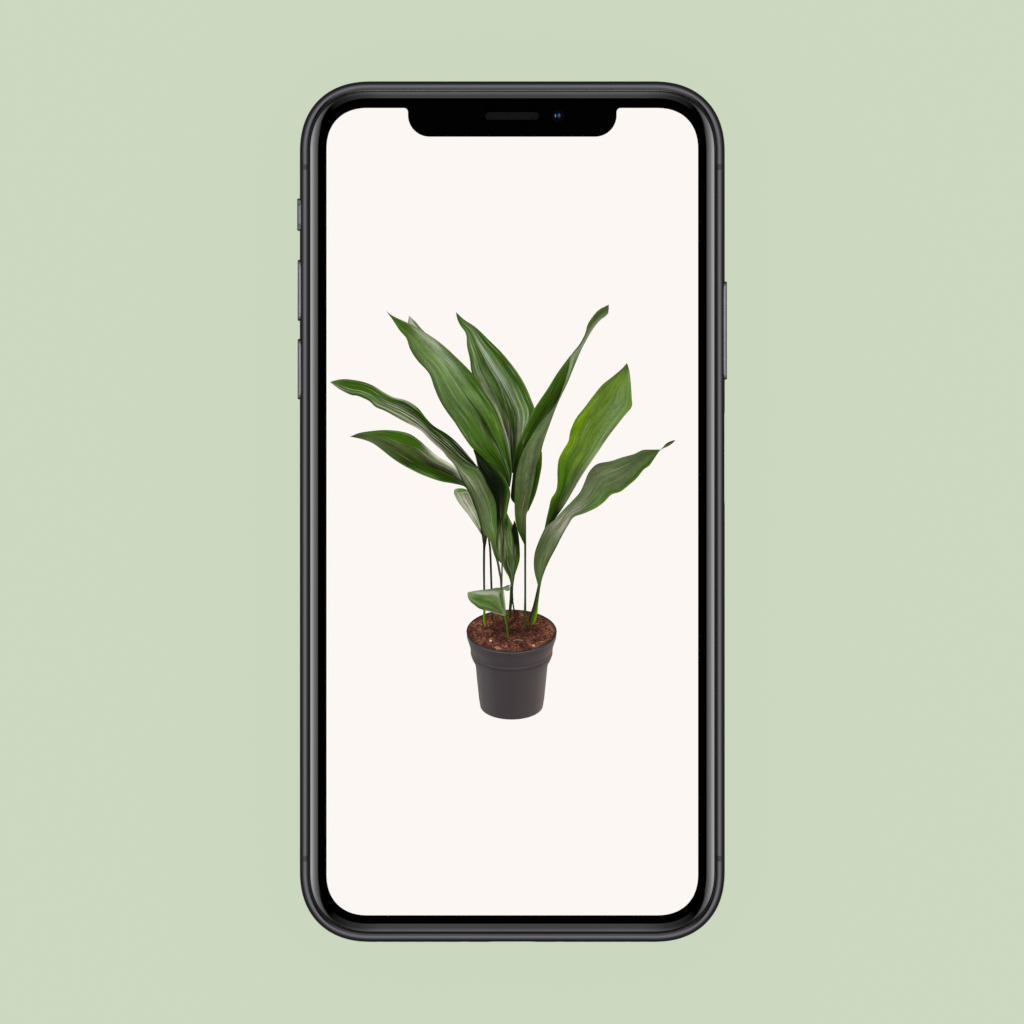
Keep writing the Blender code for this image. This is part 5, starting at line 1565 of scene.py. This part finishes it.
def make_lower_end():
    """The charging port with its contacts, the cloths behind the sound holes, and the case screws."""
    bright = steel_finish("port_steel", (0.42, 0.42, 0.43), 0.28)
    black = plastic_finish("port_plastic", (0.008, 0.008, 0.009), 0.5)
    gold = steel_finish("contact_gold", (0.75, 0.52, 0.22), 0.3)
    length, width = PORT_BORE
    at = placed("end", (0, -HALF_HEIGHT, MIDDLE))
    mouth = -PORT_MOUTH
    shape = bmesh.new()
    shell = pill(length + 2 * PORT_WALL, width + 2 * PORT_WALL)
    add_plate(shape, [shell, pill(length, width)], mouth - PORT_DEPTH + 2 * PORT_WALL, mouth, at)
    add_plate(shape, [shell], mouth - PORT_DEPTH, mouth - PORT_DEPTH + 2 * PORT_WALL, at)
    tongue = pill(6.8 * MM, 0.7 * MM, 6)
    add_stack(shape, [(tongue, mouth - PORT_DEPTH + 0.5 * MM), (tongue, mouth - 1.2 * MM)], at, 1)
    for contact in range(PORT_CONTACTS):
        a = (contact - (PORT_CONTACTS - 1) / 2) * CONTACT_PITCH
        pad = moved(oblong(0.4 * MM, 0.78 * MM), a, 0)
        add_stack(shape, [(pad, mouth - 5 * MM), (pad, mouth - 1.6 * MM)], at, 2)
    add_piece("port_with_contacts", shape, [bright, black, gold], "case", ["charging_port"])
    cloth = plastic_finish("acoustic_cloth", (0.006, 0.006, 0.007), 0.7)
    weave = cloth.maths("SINE", cloth.place()[0] * (math.tau / (0.12 * MM)))
    cloth.give("Normal", cloth.bump(weave, 0.02 * MM, 0.6))
    shape = bmesh.new()
    disc = circle(SOUND_HOLE_RADIUS - 0.02 * MM)
    for x in sound_holes(-1) + sound_holes(1):
        hole_at = placed("end", (x, -HALF_HEIGHT, MIDDLE))
        add_stack(shape, [(disc, -1.9 * MM), (disc, -1.6 * MM)], hole_at)
    add_piece("acoustic_cloths", shape, [cloth])
    steel = steel_finish("screw_steel", (0.16, 0.16, 0.17), 0.25)
    for side, name in ((-1, "left"), (1, "right")):
        at = placed("end", (side * SCREW_X, -HALF_HEIGHT, MIDDLE))
        star = []
        for point in range(10):
            angle = math.tau * point / 10
            reach = (0.46 if point % 2 else 0.3) * MM
            star.append((reach * math.cos(angle), reach * math.sin(angle)))
        shape = bmesh.new()
        wide, narrow = circle(SCREW_HEAD), circle(SCREW_HEAD - 0.08 * MM)
        foot, floor, top = -0.8 * MM, -0.45 * MM, -0.15 * MM
        add_plate(shape, [narrow, star], floor, top, at)
        add_stack(shape, [(wide, foot), (wide, top - 0.08 * MM), (narrow, top)], at, caps=False)
        add_stack(shape, [(wide, foot), (wide, floor)], at)
        shank = circle(SCREW_SHANK, 16)
        add_stack(shape, [(shank, -4.2 * MM), (shank, foot)], at)
        screw = f"case_screw_{name}"
        add_piece(f"five_lobe_screw_{name}", shape, [steel], "case", [screw], outward=False)


# --------------------------------------------------------------------------------------------------
# Back


def make_back(settings):
    """The back glass, plain and dark."""
    glass = Finish("dark_back_glass", IOR=1.52, coat_weight=0.6, coat_roughness=0.02)
    haze = glass.mottle(90.0, 3.0)
    ripple = glass.mottle(700.0, 3.0)
    glass.paint(settings.back_colour, 0.92 + 0.16 * haze, 0.05 + 0.05 * ripple)
    shape = bmesh.new()
    length, width = PLATEAU_SIZE
    gap = 0.3 * MM
    hole = moved(turned(pill(length + gap, width + gap, 24)), *PLATEAU)
    add_edge_glass(shape, -1, hole)
    add_piece("curved_back_glass", shape, [glass, glass], stands_for=["back_glass"])


def make_plateau(settings):
    """The rear camera plateau with its lens rings, lenses and flash."""
    steel = steel_finish("plateau_steel", settings.steel_colour, settings.steel_roughness)
    at = placed("down", (*PLATEAU, 0))
    length, width = PLATEAU_SIZE
    edge = 0.3 * MM
    lenses = [moved(circle(LENS_COVER + 0.1 * MM, 48), 0, side * LENS_OFFSET) for side in (1, -1)]
    bores = [moved(circle(LENS_BARREL + 0.3 * MM, 48), 0, side * LENS_OFFSET) for side in (1, -1)]
    flash = circle(FLASH_COVER + 0.1 * MM, 32)
    shape = bmesh.new()
    seat = -0.8 * MM
    deep = -BACK_GLASS_IN

    def outline(inset):
        return turned(pill(length - 2 * inset, width - 2 * inset, 24))

    levels = rounded_levels(outline, deep, 0.0, edge)
    add_plate(shape, [levels[-1][0], *lenses, flash], 0.0, 0.0, at)
    walls = [(points, seat, 0.0) for points in lenses] + [(points, deep, seat) for points in bores]
    for points, low, high in [*walls, (flash, deep, 0.0)]:
        add_stack(shape, [(points, low), (points, high)], at, caps=False)
    add_stack(shape, levels, at, caps=False)
    add_plate(shape, [levels[0][0], *bores, flash], deep, deep, at)
    for outer_hole, inner_hole in zip(lenses, bores):
        add_plate(shape, [outer_hole, inner_hole], seat, seat, at)
    add_piece("polished_plateau", shape, [steel], "case", ["camera_plateau"])
    black = plastic_finish("lens_baffle", (0.004, 0.004, 0.005), 0.4)
    glass = Finish("lens_coating", roughness=0.02, IOR=1.8, coat_weight=1.0, coat_roughness=0.0)
    tint = glass.mottle(180.0)
    glass.give("Base Color", glass.mix(tint, (0.002, 0.004, 0.012), (0.008, 0.002, 0.012)))
    for side, name in ((1, "wide"), (-1, "long")):
        lens_at = placed("down", (PLATEAU[0], PLATEAU[1] + side * LENS_OFFSET, 0))
        shape = bmesh.new()
        rings = [[lens_at(a, b, c) for a, b in points] for points, c in round_levels(LENS_RING)]
        add_rings(shape, rings, closed=True)
        add_stack(shape, round_levels(LENS_STEPS), lens_at, 1, caps=False)
        add_stack(shape, round_levels(LENS_DOME), lens_at, 2)
        finishes = [steel, black, glass]
        cover = f"lens_cover_{name}"
        add_piece(f"ringed_lens_{name}", shape, finishes, "case", [cover], outward=False)
    amber = Finish("flash_lens", roughness=0.15, IOR=1.5, coat_weight=0.5)
    x, y, z = amber.place()
    reach = ((x - PLATEAU[0]) * (x - PLATEAU[0]) + (y - PLATEAU[1]) * (y - PLATEAU[1])) ** 0.5
    rings = amber.maths("SINE", reach * (math.tau / (0.18 * MM)))
    centre = amber.step(reach, 0.75 * MM, 0.55 * MM)
    amber.give("Base Color", amber.mix(centre, (0.58, 0.54, 0.50), (0.74, 0.56, 0.26)))
    amber.give("Normal", amber.bump(rings, 0.02 * MM, 0.6))
    shape = bmesh.new()
    add_stack(shape, round_levels(FLASH_LEVELS, 40), at)
    add_piece("ribbed_flash", shape, [amber], "case", ["flash_cover"])


# --------------------------------------------------------------------------------------------------
# Inside


def board_finish(name):
    """A printed circuit board with traces, pads and small parts."""
    finish = Finish(name)
    place = finish.point()
    x, y, z = finish.axes(place)
    traces = finish.node("ShaderNodeTexBrick", {"offset": 0.37}, {
        "Vector": finish.joined(x * 400.0, y * 400.0, 0.0),
        "Color1": (0.012, 0.055, 0.03),
        "Color2": (0.016, 0.075, 0.04),
        "Mortar": (0.05, 0.14, 0.07),
        "Scale": 1.0,
        "Mortar Size": 0.04,
    })
    parts = finish.step(finish.cells(place, 450.0), 0.34, 0.26)
    pads = finish.step(finish.cells(place, 1400.0), 0.2, 0.12)
    colour = finish.mix(pads, traces, (0.55, 0.5, 0.36))
    colour = finish.mix(parts, colour, (0.02, 0.02, 0.022))
    finish.give("Base Color", colour).give("Roughness", 0.35 + 0.2 * parts)
    finish.give("Metallic", pads * (1.0 - parts))
    return finish.give("Normal", finish.bump(parts + 0.3 * pads, 0.1 * MM))


def make_inside():
    """The finishes of the pieces behind the glass."""
    foil = Finish("cell_foil", roughness=0.4)
    creases = foil.mottle(220.0, 6.0, 0.65, 1.0)
    foil.paint((0.035, 0.035, 0.038), 0.7 + 0.6 * creases, 0.3 + 0.25 * creases)
    foil.give("Normal", foil.bump(creases, 0.2 * MM))
    dress(foil, "battery_main", "battery_lower")
    dress(board_finish("green_board"), "logic_board", "upper_flex")
    dress(board_finish("switch_board"), "volume_switch_board", "ring_switch_board", "side_switch_board")
    shield = Finish("spotted_shield", metallic=1.0)
    brushed = shield.noise(shield.point((1.0, 40.0, 1.0)), 300.0, 3.0)
    spots = shield.step(shield.cells(shield.point(), 320.0), 0.16, 0.1)
    shield.paint((0.46, 0.46, 0.47), 0.8 + 0.3 * brushed, 0.25 + 0.2 * brushed)
    shield.give("Normal", shield.bump(1.0 - spots, 0.06 * MM))
    dress(shield, "board_shield_upper", "board_shield_lower", "radio_module", "card_reader", "sensor_bracket")
    sheet = Finish("brushed_sheet", metallic=1.0)
    lines = sheet.noise(sheet.point((1.0, 60.0, 1.0)), 200.0, 4.0)
    sheet.paint((0.4, 0.4, 0.41), 0.85 + 0.3 * lines, 0.3 + 0.15 * lines)
    dress(sheet, "back_plate", "vibration_motor")
    copper = Finish("wound_copper", metallic=1.0)
    x, y, z = copper.place()
    reach = (x * x + (y + 5.0 * MM) * (y + 5.0 * MM)) ** 0.5
    turns = 0.5 + 0.5 * copper.maths("SINE", reach * (math.tau / (0.7 * MM)))
    copper.give("Base Color", copper.mix(turns, (0.16, 0.06, 0.02), (0.76, 0.40, 0.22)))
    copper.give("Roughness", 0.45 - 0.15 * turns)
    copper.give("Normal", copper.bump(turns, 0.15 * MM))
    dress(copper, "charging_coil")
    black = plastic_finish("module_plastic", (0.012, 0.012, 0.013))
    dress(black, "earpiece_speaker", "loudspeaker", "infrared_camera", "dot_projector")
    dress(plastic_finish("camera_housing", (0.01, 0.01, 0.012), 0.4), "rear_camera_wide", "rear_camera_long")
    lamp = Finish("lamp_phosphor", roughness=0.5)
    lamp.give("Base Color", lamp.mix(lamp.mottle(1500.0), (0.8, 0.72, 0.2), (0.85, 0.8, 0.4)))
    dress(lamp, "flash_lamp")
    panel = plastic_finish("panel_body", (0.006, 0.006, 0.007), 0.5)
    dress(panel, "display_panel")


# --------------------------------------------------------------------------------------------------
# Stage

# Light from each height of the sky, from straight down at -1 to overhead at 1, towards the sides and
# towards the ends of the phone
SIDE_LIGHT = (
    (-0.69, 0.05), (-0.49, 0.08), (-0.25, 0.44), (0.0, 1.3), (0.31, 1.93), (0.54, 1.6), (0.62, 1.36),
    (0.72, 0.94), (0.8, 0.68), (0.87, 0.47), (0.94, 0.3), (0.95, 0.0),
)
END_LIGHT = (
    (-0.69, 0.05), (-0.49, 0.08), (-0.25, 0.44), (0.0, 1.3), (0.31, 1.93), (0.4, 1.95), (0.54, 1.4),
    (0.72, 0.95), (0.87, 0.84), (0.93, 0.95), (0.945, 0.0),
)


def make_world(settings):
    """Soft studio light from the sides and the ends, dark overhead, and the plain ground behind."""
    world = bpy.data.worlds.new("studio")
    world.use_nodes = True
    bpy.context.scene.world = world
    tree = world.node_tree
    tree.nodes.clear()
    sky = Nodes(tree)
    x, y, z = sky.axes(sky.node("ShaderNodeTexCoord"))
    height = sky.maths("ARCSINE", z) * (2 / math.pi)
    flat = (x * x + y * y) ** 0.5
    sideways = abs(x) / (flat + 0.0001)
    endways = abs(y) / (flat + 0.0001)
    place = height * 0.5 + 0.5
    lights = []
    for table in (SIDE_LIGHT, END_LIGHT):
        stops = [((stop + 1) / 2, (light / 2,) * 3) for stop, light in table]
        lights.append(sky.axes(sky.ramp(place, stops))[0])
    side_light, end_light = lights
    gate = 0.45 + 0.5 * z**4
    side_window = sky.step(sideways, gate, gate + 0.08)
    end_window = sky.step(endways, 0.7, 0.98)
    upper = sky.step(height, 0.38, 0.47)
    side_share = 1.0 - upper + upper * side_window
    light = side_light * side_share + end_light * upper * end_window
    glow = sky.scaled(settings.light_colour, light * (2.0 * settings.light_strength))
    seen = sky.node("ShaderNodeLightPath")
    colour = sky.mix(seen, glow, settings.floor_colour)
    background = tree.nodes.new("ShaderNodeBackground")
    sky.feed(background.inputs["Color"], colour)
    output = tree.nodes.new("ShaderNodeOutputWorld")
    tree.links.new(background.outputs[0], output.inputs[0])


def make_stage(settings):
    """The floor, the light and the camera at the photograph's angle."""
    make_world(settings)
    floor = Finish("floor_paper", specular_ior_level=0.0, roughness=0.9, emission_strength=1.0)
    fibre = floor.mottle(700.0, 3.0)
    grain = 0.998 + 0.004 * fibre
    floor.give("Base Color", floor.scaled(settings.floor_colour, grain * settings.floor_shading))
    floor.glow(settings.floor_colour, grain * (1 - settings.floor_shading * 1.1))
    floor.open_below()
    shape = bmesh.new()
    half = settings.floor_size / 2
    corners = [shape.verts.new((x * half, y * half, 0)) for x, y in ((-1, -1), (1, -1), (1, 1), (-1, 1))]
    shape.faces.new(corners)
    mesh = bpy.data.meshes.new("floor")
    shape.to_mesh(mesh)
    shape.free()
    mesh.materials.append(floor.material)
    ground = linked("floor", mesh)
    ground.visible_glossy = False
    camera = bpy.data.cameras.new("camera")
    camera.type = "ORTHO"
    camera.ortho_scale = settings.view_width
    holder = linked("camera", camera)
    holder.location = (*settings.view_centre, 0.5)
    bpy.context.scene.camera = holder
    bpy.context.scene.view_settings.view_transform = "Standard"


# --------------------------------------------------------------------------------------------------
# Add-on


class CaseSettings(bpy.types.PropertyGroup):
    """Finishes of the case."""

    steel_colour: bpy.props.FloatVectorProperty(
        name="Steel colour", description="Colour of the polished band, buttons, tray and camera plateau",
        default=(0.0855, 0.084, 0.092), subtype="COLOR", min=0.0, max=1.0,
    )
    steel_roughness: bpy.props.FloatProperty(
        name="Steel roughness", description="How dull the polished steel is", default=0.12, min=0.0, max=1.0,
    )
    antenna_colour: bpy.props.FloatVectorProperty(
        name="Antenna insert colour", description="Colour of the plastic inserts in the band",
        default=(0.003, 0.003, 0.005), subtype="COLOR", min=0.0, max=1.0,
    )
    back_colour: bpy.props.FloatVectorProperty(
        name="Back glass colour", description="Colour of the back glass",
        default=(0.018, 0.018, 0.021), subtype="COLOR", min=0.0, max=1.0,
    )


class ScreenSettings(bpy.types.PropertyGroup):
    """The lit screen."""

    ground_colour: bpy.props.FloatVectorProperty(
        name="Ground colour", description="Colour of the screen behind the plant",
        default=srgb(252, 247, 243), subtype="COLOR", min=0.0, max=1.0,
    )
    brightness: bpy.props.FloatProperty(
        name="Brightness", description="How brightly the screen is lit", default=1.0, min=0.0, soft_max=2.0,
    )


class StageSettings(bpy.types.PropertyGroup):
    """The stage round the phone."""

    floor_colour: bpy.props.FloatVectorProperty(
        name="Floor colour", description="Colour of the plain floor",
        default=srgb(204, 216, 192), subtype="COLOR", min=0.0, max=1.0,
    )
    floor_shading: bpy.props.FloatProperty(
        name="Floor shading", description="Share of the floor's light that the phone can shade",
        default=0.04, min=0.0, max=1.0,
    )
    floor_size: bpy.props.FloatProperty(
        name="Floor size", description="Length of each side of the floor",
        default=3.0, min=0.5, unit="LENGTH",
    )
    light_colour: bpy.props.FloatVectorProperty(
        name="Light colour", description="Colour of the studio light",
        default=(1.0, 1.0, 1.0), subtype="COLOR", min=0.0, max=1.0,
    )
    light_strength: bpy.props.FloatProperty(
        name="Light strength", description="Strength of the studio light", default=1.0, min=0.0, soft_max=3.0,
    )
    view_width: bpy.props.FloatProperty(
        name="View width", description="Width that the camera sees",
        default=PHOTO_SIDE * PIXEL, min=0.01, unit="LENGTH",
    )
    view_centre: bpy.props.FloatVectorProperty(
        name="View centre", description="Point that the camera looks down on", size=2,
        default=((PHOTO_SIDE / 2 - MIDDLE_PIXEL[0]) * PIXEL, (MIDDLE_PIXEL[1] - PHOTO_SIDE / 2) * PIXEL),
        unit="LENGTH", subtype="XYZ",
    )


class PHONE_OT_band(bpy.types.Operator):
    """Make the steel band and the antenna inserts"""

    bl_idname = "phone.band"
    bl_label = "Band"

    def execute(self, context):
        make_band(context.scene.phone_case)
        return {"FINISHED"}


class PHONE_OT_cover(bpy.types.Operator):
    """Make the cover glass"""

    bl_idname = "phone.cover"
    bl_label = "Cover glass"

    def execute(self, context):
        make_cover()
        return {"FINISHED"}


class PHONE_OT_border(bpy.types.Operator):
    """Make the ink border and the display frame"""

    bl_idname = "phone.border"
    bl_label = "Border and frame"

    def execute(self, context):
        make_border()
        make_display_frame()
        return {"FINISHED"}


class PHONE_OT_screen(bpy.types.Operator):
    """Make the lit ground of the screen"""

    bl_idname = "phone.screen"
    bl_label = "Lit screen"

    def execute(self, context):
        make_wallpaper(context.scene.phone_screen)
        return {"FINISHED"}


class PHONE_OT_pictured_pot(bpy.types.Operator):
    """Make the pictured pot and soil"""

    bl_idname = "phone.pictured_pot"
    bl_label = "Pictured pot"

    def execute(self, context):
        make_pictured_pot(context.scene.phone_screen)
        return {"FINISHED"}


class PHONE_OT_pictured_plant(bpy.types.Operator):
    """Make the pictured stems and leaves"""

    bl_idname = "phone.pictured_plant"
    bl_label = "Pictured plant"

    def execute(self, context):
        make_pictured_plant(context.scene.phone_screen)
        return {"FINISHED"}


class PHONE_OT_sensors(bpy.types.Operator):
    """Make the earpiece and the front camera"""

    bl_idname = "phone.sensors"
    bl_label = "Earpiece and camera"

    def execute(self, context):
        make_earpiece()
        make_front_camera()
        return {"FINISHED"}


class PHONE_OT_buttons(bpy.types.Operator):
    """Make the press buttons and the ring switch"""

    bl_idname = "phone.buttons"
    bl_label = "Buttons"

    def execute(self, context):
        make_press_buttons(context.scene.phone_case)
        make_ring_switch(context.scene.phone_case)
        return {"FINISHED"}


class PHONE_OT_tray(bpy.types.Operator):
    """Make the card tray"""

    bl_idname = "phone.tray"
    bl_label = "Card tray"

    def execute(self, context):
        make_tray(context.scene.phone_case)
        return {"FINISHED"}


class PHONE_OT_lower_end(bpy.types.Operator):
    """Make the charging port and the screws"""

    bl_idname = "phone.lower_end"
    bl_label = "Lower end"

    def execute(self, context):
        make_lower_end()
        return {"FINISHED"}


class PHONE_OT_back(bpy.types.Operator):
    """Make the back glass and the rear camera plateau"""

    bl_idname = "phone.back"
    bl_label = "Back"

    def execute(self, context):
        make_back(context.scene.phone_case)
        make_plateau(context.scene.phone_case)
        return {"FINISHED"}


class PHONE_OT_inside(bpy.types.Operator):
    """Finish the pieces inside"""

    bl_idname = "phone.inside"
    bl_label = "Inside"

    def execute(self, context):
        make_inside()
        return {"FINISHED"}


class PHONE_OT_stage(bpy.types.Operator):
    """Make the floor, the light and the camera"""

    bl_idname = "phone.stage"
    bl_label = "Stage"

    def execute(self, context):
        make_stage(context.scene.phone_stage)
        return {"FINISHED"}


SETTINGS = {"phone_case": CaseSettings, "phone_screen": ScreenSettings, "phone_stage": StageSettings}
OPERATORS = (
    PHONE_OT_stage,
    PHONE_OT_band,
    PHONE_OT_cover,
    PHONE_OT_border,
    PHONE_OT_screen,
    PHONE_OT_pictured_pot,
    PHONE_OT_pictured_plant,
    PHONE_OT_sensors,
    PHONE_OT_buttons,
    PHONE_OT_tray,
    PHONE_OT_lower_end,
    PHONE_OT_back,
    PHONE_OT_inside,
)


class PHONE_PT_pieces(bpy.types.Panel):
    """Lists the pieces and their settings"""

    bl_label = "Phone"
    bl_idname = "PHONE_PT_pieces"
    bl_space_type = "VIEW_3D"
    bl_region_type = "UI"
    bl_category = "Phone"

    def draw(self, context):
        layout = self.layout
        for name, group in SETTINGS.items():
            settings = getattr(context.scene, name)
            column = layout.box().column()
            for key in group.__annotations__:
                column.prop(settings, key)
        for operator in OPERATORS:
            layout.operator(operator.bl_idname)


def register():
    """Registers the settings, the operators and the panel."""
    for name, group in SETTINGS.items():
        bpy.utils.register_class(group)
        setattr(bpy.types.Scene, name, bpy.props.PointerProperty(type=group))
    for operator in OPERATORS:
        bpy.utils.register_class(operator)
    bpy.utils.register_class(PHONE_PT_pieces)


def unregister():
    """Removes what register added."""
    bpy.utils.unregister_class(PHONE_PT_pieces)
    for operator in reversed(OPERATORS):
        bpy.utils.unregister_class(operator)
    for name, group in reversed(SETTINGS.items()):
        delattr(bpy.types.Scene, name)
        bpy.utils.unregister_class(group)


def main():
    """Makes every piece in turn."""
    register()
    for operator in OPERATORS:
        group, name = operator.bl_idname.split(".")
        getattr(getattr(bpy.ops, group), name)()


if __name__ == "__main__":
    main()
